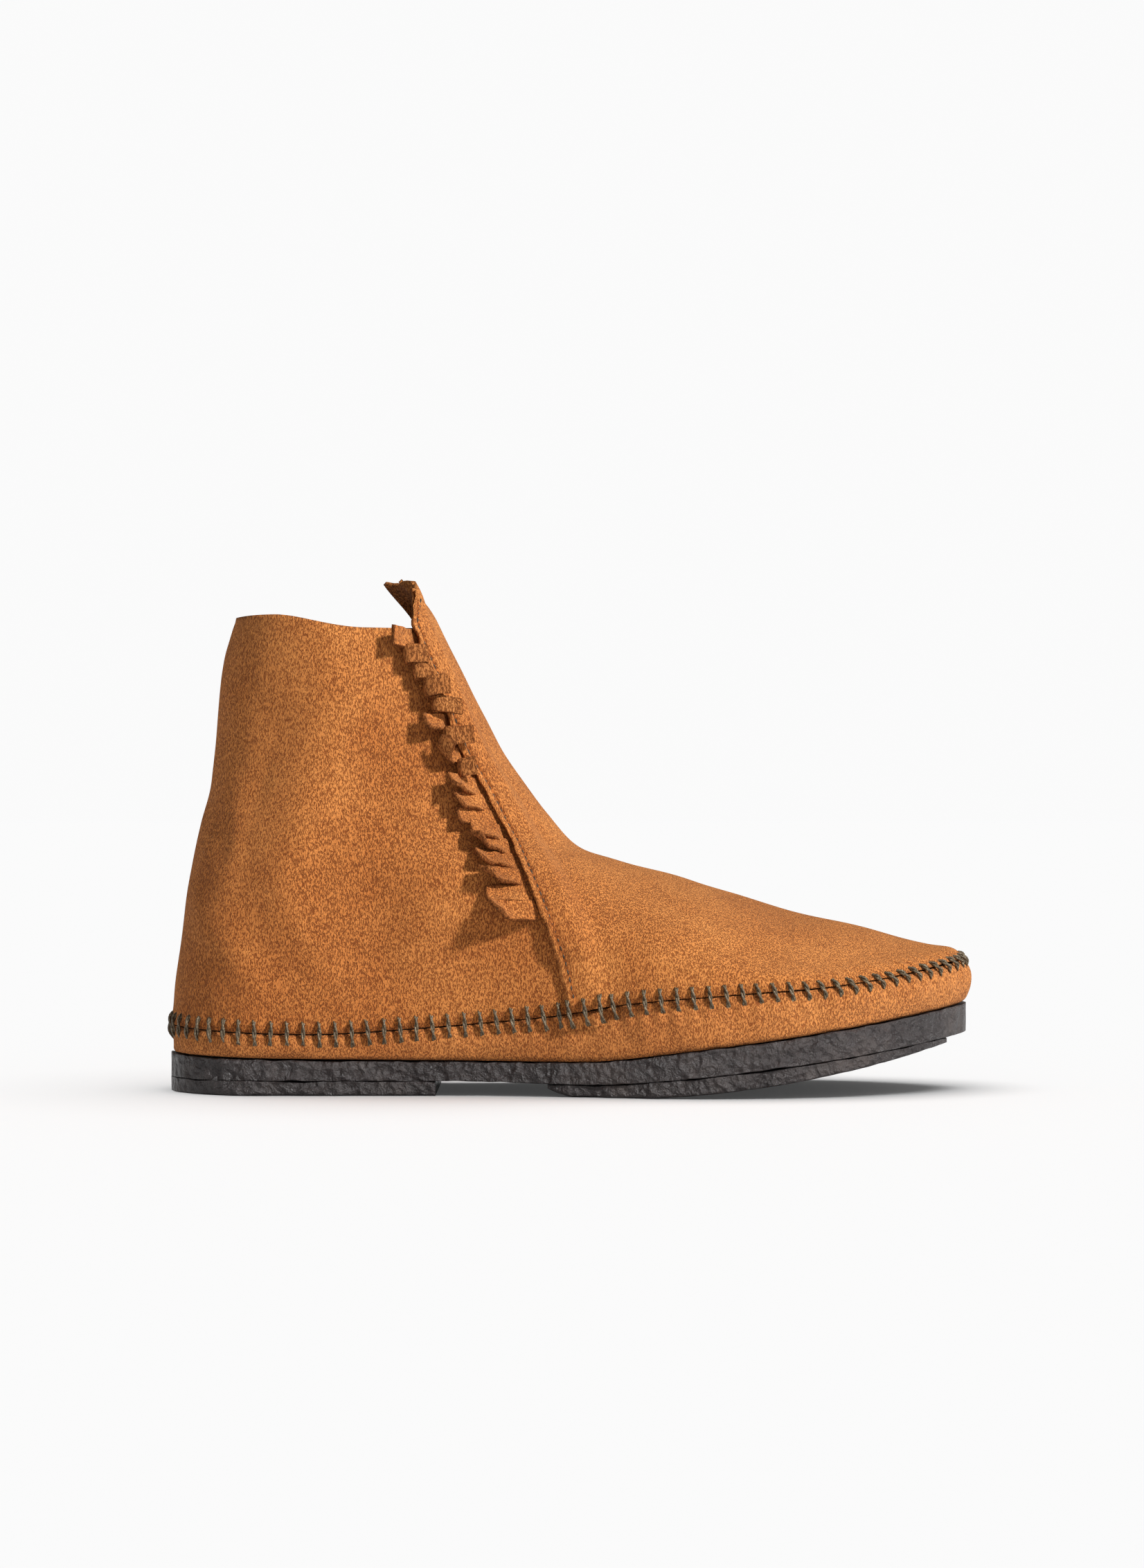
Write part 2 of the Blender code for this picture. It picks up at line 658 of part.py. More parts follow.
def make_whip_thread():
    """The heavy thread that whips the upper to the sole wrap: one run with a bar at each stitch."""
    full, count = 2 * math.pi, WHIP_SAMPLES
    samples = [suede_point(0.0, full * (i + 0.5) / count - math.pi) for i in range(count)]
    lengths = np.cumsum([(b - a).length for a, b in zip(samples, samples[1:] + samples[:1])])
    stitches = int(lengths[-1] // WHIP_PITCH)
    rings = []
    for stitch in range(stitches):
        low, high = WHIP_SIDE, WHIP_SIDE + WHIP_THREAD
        for part, share in ((0.0, 0.0), (low, 1.0), (high, 1.0), (high + WHIP_SIDE, 0.0)):
            run = (stitch + part / WHIP_PITCH) * lengths[-1] / stitches
            angle = full * float(np.interp(run, [0.0, *lengths], range(count + 1))) / count - math.pi
            rings.append(whip_ring(angle, share))
    tube("whip_thread", rings, thread_material(), closed=True)


def whip_ring(angle, share):
    """A cross-section of the whip thread: a tall one at a stitch, a small one between two."""
    rim = suede_point(0.0, angle)
    toe = blended((share_at(rim.x) - 0.55) / 0.4)
    length = WHIP_HEEL_LENGTH + (WHIP_TOE_LENGTH - WHIP_HEEL_LENGTH) * toe
    half = THREAD / 2 + (length / 2 - THREAD / 2) * share
    out = suede_normal(0.02, angle)
    along = (suede_point(0.0, angle + 0.01) - suede_point(0.0, angle - 0.01)).normalized()
    up = out.cross(along)
    up = up if up.z > 0 else -up
    # Past the outer seam's rim the stitches stand off by the rim's height.
    at_seam = abs(angle - lateral_edge(0.0)) < RIM_TURN
    clear = 2 * GAP + (lap_offset(0.0, 0.0) + GAP if at_seam else 0.0)
    low, high = clear + WRAP_BULGE * 0.7 * share, clear
    above = suede_point(half / COLLAR_HEIGHT, angle)
    above = above - (above - rim).dot(along) * along
    ring = [rim - half * up + low * out, above + high * out]
    return [ring[0], ring[1], ring[1] + THREAD * out, ring[0] + THREAD * out]


# ---------------------------------------------------------------------------------------------
# Fringe


def fringe_roots():
    """(level, point) down the outer seam at the edges of the tabs."""
    levels = [float(level) for level in np.arange(FRINGE_TOP, 0.05, -0.0025)]
    points = [suede_point(level, lateral_edge(level)) for level in levels]
    runs = np.cumsum([0.0] + [(b - a).length for a, b in zip(points, points[1:])])
    return [float(np.interp(i * FRINGE_PITCH, runs, levels)) for i in range(FRINGE_TABS + 1)]


def make_fringe_band(roots):
    """The uncut edge of the fringe, sewn between the quarter and the front panel."""
    rings = []
    for level in reversed(roots):
        ring = []
        inner = GAP + FRINGE_BAND
        for distance, height in ((GAP, 0), (inner, 0), (inner, 1), (GAP, 1)):
            angle = angle_past(level, lateral_edge(level), distance)
            ring.append(suede_point(level, angle, 1.8 * GAP + height * (TAB_THICKNESS - GAP)))
        rings.append(ring)
    tube("fringe_band", rings, suede_material())


def tab_frame(top_level, foot_level):
    """The middle of a tab's root, its half width, and the directions down the seam, back and out."""
    reach = top_level - foot_level
    ends = []
    for level in (top_level + reach, top_level, foot_level, foot_level - reach):
        angle = angle_past(level, lateral_edge(level), -TAB_ROOT)
        ends.append(suede_point(level, angle, 1.5 * GAP + TAB_THICKNESS))
    down = (ends[3] - ends[0]).normalized()
    level = (top_level + foot_level) / 2
    out = suede_normal(level, angle_past(level, lateral_edge(level), -TAB_LENGTH / 2))
    back = out.cross(down).normalized()
    back = back if back.x < 0 else -back
    out = down.cross(back)
    out = out if out.y < 0 else -out
    half = (ends[2] - ends[1]).dot(down) / 2 - TAB_SLIT / 2
    return (ends[1] + ends[2]) / 2, half, down, back, out


def make_fringe_tab(number, top_level, foot_level):
    """One cut tab. Its object's origin lies on the outer edge of its root, which it bends about."""
    root, half, down, back, out = tab_frame(top_level, foot_level)
    # Stations along the tab, each turned a little further out than the one before.
    stations, place = [], Vector((0, 0, 0))
    lean = TAB_LIFT * (1 + 0.6 * math.sin(2.3 * number))
    for i in range(TAB_STATIONS):
        towards = back * math.cos(lean) + out * math.sin(lean)
        square = out * math.cos(lean) - back * math.sin(lean)
        width = half - TAB_TAPER * i / (TAB_STATIONS - 1)
        stations.append([place + side * width * down - depth * TAB_THICKNESS * square
                         for side, depth in ((-1, 0), (1, 0), (1, 1), (-1, 1))])
        place = place + towards * TAB_LENGTH / (TAB_STATIONS - 1)
        lean += TAB_CURL * (1 + 0.8 * math.sin(1.7 * number))
    obj = tube(f"fringe_tab_{number:02d}", stations, suede_material())
    obj.location = root


def make_fringe():
    roots = fringe_roots()
    make_fringe_band(roots)
    for i in range(FRINGE_TABS):
        make_fringe_tab(i + 1, roots[i], roots[i + 1])


# ---------------------------------------------------------------------------------------------
# Zip


def zip_frame():
    """The zip's straight line: its foot, and the directions down it, across it to the front and out."""
    foot, head = (suede_point(level, medial_edge(level)) for level in (ZIP_FOOT, ZIP_HEAD))
    down, out = (foot - head).normalized(), zip_plane()[2]
    across = out.cross(down)
    if across.x < 0:
        across = -across
    return foot, head, down, across, out


TAPE_TOP = -SUEDE - 1.7 * GAP


def make_zip_tapes():
    """Woven tapes under both edges, flat along the teeth and following the suede beyond."""
    for name, side in (("zip_tape_front", 1), ("zip_tape_rear", -1)):
        rows = []
        for level in seam_levels(15, TAPE_FOOT, ZIP_HEAD - 0.004):
            row = []
            for distance in (COIL_HALF_GAP, 0.0040, 0.0064, 0.0092, ZIP_TAPE_WIDTH):
                angle = angle_past(level, medial_edge(level), side * distance)
                row.append(suede_point(level, angle, TAPE_TOP))
            rows.append(row[::-side])
        sheet(name, rows, ZIP_TAPE, tape_material())


def make_zip_coils():
    foot, head, down, across, out = zip_frame()
    base = TAPE_TOP + GAP
    for name, side in (("zip_teeth_front", 1), ("zip_teeth_rear", -1)):
        near, far, top = COIL_HALF_GAP, COIL_HALF_GAP + COIL_WIDTH, base + COIL_HEIGHT
        rings = [
            [end + side * d * across + h * out
             for d, h in ((near, base), (far, base), (far, top), (near, top))]
            for end in (head + ZIP_END * down, head.lerp(foot, 0.5), foot - ZIP_END * down)
        ]
        tube(name, rings, metal_material())
        stop = head + side * (COIL_HALF_GAP + COIL_WIDTH / 2) * across + (base + COIL_HEIGHT / 2) * out
        points = box_points(stop + (TOP_STOP / 2 - STOP_PROUD / 2) * down, down, across, out,
                            (TOP_STOP / 2, COIL_WIDTH / 2, COIL_HEIGHT / 2))
        new_object(f"zip_top_stop_{name[10:]}", points, BOX_FACES, metal_material(), False)
    centre = foot + STOP_PROUD * (down + out) + (base + COIL_HEIGHT / 2) * out
    points = box_points(centre, down, across, out,
                        (BOTTOM_STOP / 2, COIL_HALF_GAP + COIL_WIDTH, COIL_HEIGHT / 2 + STOP_PROUD))
    new_object("zip_bottom_stop", points, BOX_FACES, metal_material(), False)


def slider_start():
    """The slider's centre when the zip is closed, just under the top stops."""
    foot, head, down, across, out = zip_frame()
    return head + (ZIP_END + SLIDER_LENGTH / 2 + GAP) * down


def make_zip_slider():
    """Slider: two plates joined by a web that runs between the teeth, flanges, and a bail for the pull."""
    foot, head, down, across, out = zip_frame()
    centre = slider_start()
    top = TAPE_TOP + GAP + COIL_HEIGHT + GAP
    low = TAPE_TOP - ZIP_TAPE - 1.6 * GAP
    half = SLIDER_LENGTH / 2
    wire, middle, face = BAIL_WIRE / 2, (top + low) / 2, top + SLIDER_PLATE
    web = (SLIDER_WEB / 2, COIL_HALF_GAP / 2, (top - low) / 2 + STOP_PROUD)
    boxes = [
        (centre + (top + SLIDER_PLATE / 2) * out, (half, SLIDER_HALF_WIDTH, SLIDER_PLATE / 2)),
        (centre + (low - SLIDER_PLATE / 2) * out, (half, SLIDER_HALF_WIDTH, SLIDER_PLATE / 2)),
        (centre - 0.6 * half * down + middle * out, web),
    ]
    for side in (-1, 1):
        flange = centre + side * (SLIDER_HALF_WIDTH - SLIDER_FLANGE / 2) * across + (top - wire) * out
        boxes.append((flange, (half, SLIDER_FLANGE / 2, wire + STOP_PROUD / 2)))
        bail_foot = centre + side * (BAIL_LENGTH / 2 - wire) * down + (face + BAIL_HEIGHT / 2) * out
        boxes.append((bail_foot, (wire, BAIL_WIDTH / 2, (BAIL_HEIGHT + STOP_PROUD) / 2)))
    bridge = centre + (face + BAIL_HEIGHT - wire) * out
    boxes.append((bridge, (BAIL_LENGTH / 2, BAIL_WIDTH / 2, wire)))
    body = None
    for i, (place, sizes) in enumerate(boxes):
        points = [p - centre for p in box_points(place, down, across, out, sizes)]
        name = "zip_slider" if body is None else f"slider_piece_{i}"
        obj = new_object(name, points, BOX_FACES, metal_material(), False)
        obj.location = centre
        if body is None:
            body = obj
            continue
        obj.hide_render = True
        obj.display_type = "WIRE"
        join = body.modifiers.new(name, "BOOLEAN")
        join.operation = "UNION"
        join.object = obj


def pull_axis():
    """The bar of the pull, under the slider's bail."""
    foot, head, down, across, out = zip_frame()
    top = TAPE_TOP + GAP + COIL_HEIGHT + GAP + SLIDER_PLATE
    return slider_start() + (top + GAP + PULL_THICKNESS / 2 + STOP_PROUD) * out, down, across, out


def make_zip_pull():
    """The pull: a flat strap with a window at its top, whose bar passes under the slider's bail."""
    axis, down, across, out = pull_axis()
    half, window, bar = PULL_WIDTH / 2, PULL_WINDOW / 2, PULL_THICKNESS / 2
    long_sides = [(-bar, half), (PULL_LENGTH * 0.86, half), (PULL_LENGTH, half * 0.55)]
    ring = [(d, -w) for d, w in long_sides] + [(d, w) for d, w in reversed(long_sides)]
    end = PULL_WINDOW_END
    inner = [(bar, -window), (end, -window), (end, window), (bar, window)]
    points = [d * down + w * across + h * bar * out for h in (-1, 1) for d, w in ring + inner]
    count = len(ring) + len(inner)
    o, n = list(range(len(ring))), list(range(len(ring), count))
    plan = [(o[0], n[0], n[3], o[5]), (o[0], o[1], n[1], n[0]), (o[5], n[3], n[2], o[4]),
            (o[1], o[4], n[2], n[1]), (o[1], o[2], o[3], o[4])]
    faces = plan + [tuple(count + i for i in reversed(face)) for face in plan]
    for loop in (o, n):
        faces += [(a, b, count + b, count + a) for a, b in zip(loop, loop[1:] + loop[:1])]
    obj = new_object("zip_pull", points, faces, metal_material(), False)
    obj.location = axis


def make_zip_guard():
    """A suede patch sewn over the zip's lower end."""
    rings = []
    for level in seam_levels(8, 0.035, GUARD_TOP):
        ring = []
        width = GUARD_HALF_WIDTH * (1 - 0.26 * (level == GUARD_TOP))
        steps = [width * share for share in (-1.0, -0.5, 0.0, 0.5, 1.0)]
        for height, order in ((1.5 * GAP, steps), (1.5 * GAP + SUEDE, steps[::-1])):
            for distance in order:
                angle = angle_past(level, medial_edge(level), distance)
                ring.append(suede_point(level, angle, height))
        rings.append(ring)
    tube("zip_guard", rings, suede_material())


def make_zip():
    make_zip_tapes()
    make_zip_coils()
    make_zip_slider()
    make_zip_pull()
    make_zip_guard()


def centre_on_origin():
    """Moves the whole boot so that its box stands centred over the origin."""
    bpy.context.view_layer.update()
    graph = bpy.context.evaluated_depsgraph_get()
    corners = [
        obj.evaluated_get(graph).matrix_world @ Vector(corner)
        for obj in bpy.context.scene.objects if not obj.hide_render
        for corner in obj.evaluated_get(graph).bound_box
    ]
    shift = [-(min(c[i] for c in corners) + max(c[i] for c in corners)) / 2 for i in (0, 1)]
    for obj in bpy.context.scene.objects:
        obj.location += Vector((*shift, 0))


def main():
    remove_everything()
    make_sole()
    make_sole_wrap()
    make_footbed()
    make_quarter()
    make_front_panel()
    make_seam_threads()
    make_whip_thread()
    make_fringe()
    make_zip()
    centre_on_origin()


main()
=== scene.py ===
import math

import bmesh
import bpy
import numpy as np
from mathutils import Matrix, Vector


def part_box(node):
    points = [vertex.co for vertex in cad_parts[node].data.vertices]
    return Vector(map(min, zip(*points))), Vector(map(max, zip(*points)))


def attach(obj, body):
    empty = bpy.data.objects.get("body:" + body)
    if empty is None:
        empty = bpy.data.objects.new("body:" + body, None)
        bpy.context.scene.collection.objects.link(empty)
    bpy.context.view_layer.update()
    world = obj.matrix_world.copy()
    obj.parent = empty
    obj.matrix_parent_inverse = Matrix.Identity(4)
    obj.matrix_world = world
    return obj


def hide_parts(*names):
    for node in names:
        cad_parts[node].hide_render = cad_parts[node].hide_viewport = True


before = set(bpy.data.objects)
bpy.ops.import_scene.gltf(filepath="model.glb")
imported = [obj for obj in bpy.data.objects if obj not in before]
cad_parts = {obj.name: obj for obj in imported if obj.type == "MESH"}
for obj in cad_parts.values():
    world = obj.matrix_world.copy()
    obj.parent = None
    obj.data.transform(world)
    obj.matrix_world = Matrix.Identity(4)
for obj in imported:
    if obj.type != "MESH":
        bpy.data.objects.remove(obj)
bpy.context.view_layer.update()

scene = bpy.context.scene

# CAMERA. It stands level with the ankle, square to the outer side of the boot, and far enough back
# for the sole to look nearly flat. The view is 363 mm wide where it cuts the middle of the boot.

WIDTH_AT_BOOT = 0.3634
CAMERA_DISTANCE = 1.300
CAMERA_HEIGHT = 0.0969

camera = bpy.data.objects.new("camera", bpy.data.cameras.new("camera"))
scene.collection.objects.link(camera)
camera.data.sensor_fit = "HORIZONTAL"
camera.data.sensor_width = 36
camera.data.lens = 36 * CAMERA_DISTANCE / WIDTH_AT_BOOT
camera.data.clip_start = 0.01
camera.location = (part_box("outsole")[0].x + 0.1272, -CAMERA_DISTANCE, CAMERA_HEIGHT)
camera.rotation_euler = (math.pi / 2, 0, 0)
scene.camera = camera

# SOLE. Three pieces of dark crepe rubber: a full layer with a heel pad and a ball pad under it.
# Their edges are ground by hand, so they waver a little, and the rubber has a crinkled skin.

SHOE_LENGTH, COLLAR_HEIGHT = 0.2545, 0.1495
BALL_HALF_WIDTH, HEEL_HALF_WIDTH, SHAFT_HALF_WIDTH = 0.0438, 0.0298, 0.0325
WAIST_THICKNESS, HEEL_PAD_THICKNESS, BALL_PAD_THICKNESS, TOE_SPRING = 0.0060, 0.0046, 0.0039, 0.0184
SOLE_TOE, SOLE_HEEL_REACH, SOLE_TOE_REACH = 0.9935, 0.030, 0.048
HEEL_PAD_END, BALL_PAD_START, BALL_PAD_END = 0.333, 0.470, 0.964
GAP = 0.0003


def smooth_line(knots):
    """A curve through (place, value) pairs that doesn't overshoot them, flat past both ends."""
    places, values = np.array(knots, float).T
    steps = np.diff(places)
    slopes = np.diff(values) / steps
    tangents = np.concatenate([slopes[:1], np.zeros(len(places) - 2), slopes[-1:]])
    before, after = 2 * steps[1:] + steps[:-1], steps[1:] + 2 * steps[:-1]
    rising = slopes[:-1] * slopes[1:] > 0
    with np.errstate(divide="ignore", invalid="ignore"):
        mean = (before + after) / (before / slopes[:-1] + after / slopes[1:])
    tangents[1:-1][rising] = mean[rising]

    def value_at(place):
        place = np.clip(place, places[0], places[-1])
        i = np.clip(np.searchsorted(places, place, side="right") - 1, 0, len(steps) - 1)
        t, rise = (place - places[i]) / steps[i], values[i + 1] - values[i]
        bend = (tangents[i] * (1 - t) - tangents[i + 1] * t) * steps[i] - rise * (1 - 2 * t)
        return values[i] + rise * t + t * (1 - t) * bend

    return value_at


def blended(share):
    """0 to 1, easing in and out."""
    share = np.clip(share, 0, 1)
    return share * share * (3 - 2 * share)


def rounded_end(distance, reach):
    """The share of the full width this far in from an end rounded as a quarter ellipse."""
    return np.sqrt(np.clip(1 - (1 - np.clip(distance / reach, 0, 1)) ** 2, 0, 1))


def x_at(share):
    return (share - 0.5) * SHOE_LENGTH


def share_at(x):
    return x / SHOE_LENGTH + 0.5


SOLE_WIDTH = smooth_line([
    (0.0, HEEL_HALF_WIDTH), (0.15, HEEL_HALF_WIDTH), (0.28, 0.960 * HEEL_HALF_WIDTH),
    (0.38, 0.966 * HEEL_HALF_WIDTH), (0.5, 0.775 * BALL_HALF_WIDTH), (0.6, 0.93 * BALL_HALF_WIDTH),
    (0.68, BALL_HALF_WIDTH), (0.74, 0.995 * BALL_HALF_WIDTH), (0.82, 0.92 * BALL_HALF_WIDTH),
    (0.9, 0.81 * BALL_HALF_WIDTH), (1.0, 0.68 * BALL_HALF_WIDTH),
])
SOLE_MIDDLE = smooth_line([
    (0.0, 0.0), (0.35, -0.0015), (0.5, -0.0026), (0.6, -0.0025), (0.68, -0.0012),
    (0.82, 0.0014), (0.9, 0.0030), (1.0, 0.0055),
])
SOLE_THICKNESS = smooth_line([
    (0.0, WAIST_THICKNESS + 0.0014), (0.14, WAIST_THICKNESS + 0.0004), (0.34, WAIST_THICKNESS),
    (0.52, WAIST_THICKNESS + 0.0008), (0.64, WAIST_THICKNESS + 0.0020), (1.0, WAIST_THICKNESS + 0.0030),
])


def sole_bottom(x):
    waist, ball, toe = x_at(HEEL_PAD_END), x_at(0.52), x_at(SOLE_TOE)
    pad_change = (BALL_PAD_THICKNESS - HEEL_PAD_THICKNESS) * blended((x - waist) / (ball - waist))
    level = HEEL_PAD_THICKNESS + pad_change
    return level + (TOE_SPRING - BALL_PAD_THICKNESS) * np.clip((x - ball) / (toe - ball), 0, None) ** 1.35


def sole_top(x):
    return sole_bottom(x) + SOLE_THICKNESS(share_at(x))


def ball_pad_bottom(x):
    start, flat, lift, end = x_at(BALL_PAD_START), x_at(0.508), x_at(0.571), x_at(BALL_PAD_END)
    back = (BALL_PAD_THICKNESS - 0.0012) * (1 - np.clip((x - start) / (flat - start), 0, 1)) ** 2
    return back + (TOE_SPRING - 0.0029) * np.clip((x - lift) / (end - lift), 0, None) ** 1.7


def sole_half(x, inset=0.0):
    back, front = x_at(0) + inset, x_at(SOLE_TOE) - inset
    ends = rounded_end(x - back, SOLE_HEEL_REACH) * rounded_end(front - x, SOLE_TOE_REACH)
    return np.maximum(0, (SOLE_WIDTH(share_at(x)) - inset) * ends)


# The boot's own middle in the frame: the formulas count X from mid-length and Y from the heel's middle.
plan = np.linspace(x_at(0), x_at(SOLE_TOE), 2000)
plan_edges = [SOLE_MIDDLE(share_at(plan)) + side * sole_half(plan) for side in (-1, 1)]
sole_low, sole_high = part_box("outsole")
BOOT_MIDDLE = np.array([
    sole_low.x - x_at(0), (sole_low.y + sole_high.y - plan_edges[0].min() - plan_edges[1].max()) / 2, 0.0,
])


def ripple(place, scale, seed):
    """A smooth random height between about -1 and 1 at each place, with bumps about this wide."""
    rng = np.random.default_rng(seed)
    total = np.zeros(place.shape[:-1])
    for _ in range(10):
        turn = rng.normal(size=3)
        turn *= rng.uniform(0.6, 1.5) * math.pi / scale / np.linalg.norm(turn)
        total += np.sin(place @ turn + rng.uniform(0, 2 * math.pi))
    return total / 10 ** 0.5


def grid_mesh(name, points, around=False):
    """A mesh of quads through an array of rows of points, its columns closed into loops if around."""
    rows, columns = points.shape[:2]
    index = np.arange(rows * columns).reshape(rows, columns)
    if around:
        index = np.concatenate([index, index[:, :1]], axis=1)
    corners = (index[:-1, :-1], index[:-1, 1:], index[1:, 1:], index[1:, :-1])
    faces = np.stack([c.ravel() for c in corners], axis=1)
    mesh = bpy.data.meshes.new(name)
    mesh.from_pydata((points.reshape(-1, 3) + BOOT_MIDDLE).tolist(), [], faces.tolist())
    return mesh


def piece(name, mesh, *materials):
    obj = bpy.data.objects.new(name, mesh)
    scene.collection.objects.link(obj)
    for material in materials:
        mesh.materials.append(material)
    mesh.shade_smooth()
    return obj


def belongs(obj, body, slot, *nodes):
    """Puts a finished piece on its body, in place of its plain solids."""
    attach(obj, body)
    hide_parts(*nodes)
    return obj


def close_ends(mesh):
    """Closes the two open ends of a tube-like grid."""
    shell = bmesh.new()
    shell.from_mesh(mesh)
    bmesh.ops.remove_doubles(shell, verts=shell.verts, dist=1e-6)
    bmesh.ops.holes_fill(shell, edges=[e for e in shell.edges if e.is_boundary], sides=0)
    bmesh.ops.recalc_face_normals(shell, faces=shell.faces)
    shell.to_mesh(mesh)
    shell.free()


def new_material(name):
    material = bpy.data.materials.new(name)
    material.use_nodes = True
    return material, material.node_tree, material.node_tree.nodes["Principled BSDF"]


def fill(tree, node, **inputs):
    """Sets or links a node's inputs, by name or, as i0, i1 and so on, by number."""
    for key, value in inputs.items():
        socket = node.inputs[int(key[1:]) if key[1:].isdigit() and key[0] == "i" else key.replace("_", " ")]
        if isinstance(value, bpy.types.NodeSocket):
            tree.links.new(value, socket)
        else:
            socket.default_value = value


def add_node(tree, kind, settings=(), **inputs):
    """A node with its properties from settings and its inputs filled."""
    node = tree.nodes.new(kind)
    for key, value in dict(settings).items():
        setattr(node, key, value)
    fill(tree, node, **inputs)
    return node


def maths(tree, operation, *values):
    inputs = {f"i{i}": value for i, value in enumerate(values)}
    return add_node(tree, "ShaderNodeMath", {"operation": operation}, **inputs).outputs[0]


def noise(tree, place, scale, detail, **inputs):
    node = add_node(tree, "ShaderNodeTexNoise", Vector=place, Scale=scale, Detail=detail, **inputs)
    return node.outputs["Fac"]


def spread(tree, value, low, high, **inputs):
    """A value spread from between two others over 0 to 1, or over i3 to i4."""
    return add_node(tree, "ShaderNodeMapRange", Value=value, i1=low, i2=high, **inputs).outputs[0]


def relief(tree, height, strength, distance):
    node = add_node(tree, "ShaderNodeBump", Height=height, Strength=strength, Distance=distance)
    return node.outputs["Normal"]


def colour_ramp(tree, fac, stops):
    node = add_node(tree, "ShaderNodeValToRGB", Fac=fac)
    ramp = node.color_ramp
    while len(ramp.elements) < len(stops):
        ramp.elements.new(0.5)
    for element, (place, colour) in zip(ramp.elements, stops):
        element.position, element.color = place, (*colour, 1)
    return node.outputs["Color"]


def crepe_rubber():
    """Dark rubber with a crinkled skin that glints, browner and duller where it is dusty."""
    material, tree, surface = new_material("crepe_rubber")
    place = add_node(tree, "ShaderNodeTexCoord").outputs["Object"]
    wobble = add_node(tree, "ShaderNodeTexNoise", Vector=place, Scale=350, Detail=3)
    shifted = add_node(tree, "ShaderNodeVectorMath", {"operation": "MULTIPLY_ADD"},
                       i0=wobble.outputs["Color"], i1=(0.0020, 0.0020, 0.0020), i2=place)
    cells = add_node(tree, "ShaderNodeTexVoronoi", {"feature": "SMOOTH_F1"}, Vector=shifted.outputs[0],
                     Scale=430, Smoothness=0.5)
    grain = noise(tree, place, 1500, 4, Roughness=0.6)
    folds = noise(tree, place, 240, 5, Roughness=0.62, Distortion=0.8)
    height = maths(tree, "MULTIPLY_ADD", cells.outputs["Distance"], 0.9, folds)
    height = maths(tree, "MULTIPLY_ADD", grain, 0.35, height)
    dust = noise(tree, place, 70, 6, Roughness=0.65)
    colour = colour_ramp(tree, dust, [
        (0.30, (0.025, 0.020, 0.020)), (0.52, (0.042, 0.034, 0.033)), (0.75, (0.076, 0.060, 0.054)),
    ])
    fill(tree, surface, Base_Color=colour, Roughness=spread(tree, dust, 0.35, 0.7, i3=0.24, i4=0.44),
         Normal=relief(tree, height, 1.0, 0.0017))
    return material


rubber = crepe_rubber()


def sole_piece(node, start, end, inset, bottom, top, seed, round_edge=0.0011, stations=420, sides=10):
    """One layer of the sole: a ring of points at each station along it, wavering like cut rubber."""
    first, last = max(x_at(start), x_at(0) + inset), min(x_at(end), x_at(SOLE_TOE) - inset)
    x = first + (last - first) * (1 - np.cos(np.pi * np.linspace(0.004, 0.996, stations))) / 2
    half, middle, low, high = sole_half(x, inset), SOLE_MIDDLE(share_at(x)), bottom(x), top(x)
    edge = np.minimum(round_edge, np.minimum(0.4 * half, 0.4 * (high - low)))
    ring = []
    for side in (-1, 1):
        wall = []
        for k in range(4):
            turn = math.pi / 2 * k / 3
            wall.append((half - edge * (1 - math.sin(turn)), low + edge * (1 - math.cos(turn))))
        for k in range(1, sides + 1):
            wall.append((half, low + edge + (high - low - edge) * k / (sides + 0.5)))
        wall.append((half - 0.0003, high))
        ring += [(side * y, z) for y, z in (wall[::-1] if side > 0 else wall)]
    # Points run from under the outer edge up the outer wall, over the top, and down the inner wall.
    points = np.stack([np.stack([x, middle + y, z + 0 * x], axis=-1) for y, z in ring], axis=1)
    waver = 0.00036 * ripple(points, 0.004, seed) + 0.00025 * ripple(points, 0.013, seed + 1)
    beside = np.abs(points[..., 1] - middle[:, None]) / np.maximum(half[:, None], 1e-4)
    points[..., 1] += np.sign(points[..., 1] - middle[:, None]) * waver * (beside > 0.5)
    floor_limit = np.broadcast_to(low[:, None], points.shape[:2])
    points[..., 2] = np.maximum(points[..., 2] + 0.4 * waver * (points[..., 2] > 0.0006), floor_limit)
    mesh = grid_mesh(node + "_rubber", points, around=True)
    close_ends(mesh)
    obj = piece(node + "_rubber", mesh, rubber)
    mesh.set_sharp_from_angle(angle=math.radians(50))
    return belongs(obj, "boot", "rubber", node)


def pad_top(x):
    return sole_bottom(x) - 0.0002


sole_piece("outsole", 0.0, SOLE_TOE, 0.0, sole_bottom, sole_top, 11, 0.0004)
sole_piece("heel_pad", 0.0, HEEL_PAD_END, 0.0, lambda x: 0 * x, pad_top, 21)
sole_piece("ball_pad", BALL_PAD_START, BALL_PAD_END, 0.0006, ball_pad_bottom, pad_top, 31)

# UPPER'S SHAPE. The suede follows the foot's shape from the whipped seam, level 0, to the collar,
# level 1. Round each level the angle is 0 at the heel, pi at the front, and negative on the outer side.

SUEDE, LAP = 0.0014, 0.0070
WRAP_FLARE, WRAP_BULGE, TOE_BULGE = 0.0012, 0.0011, 0.0021
ZIP_HALF_OPENING, ZIP_FOOT, ZIP_HEAD, ZIP_FLAT_REACH = 0.0050, 0.265, 0.968, 0.0160
TAB_LEVEL = 1.14

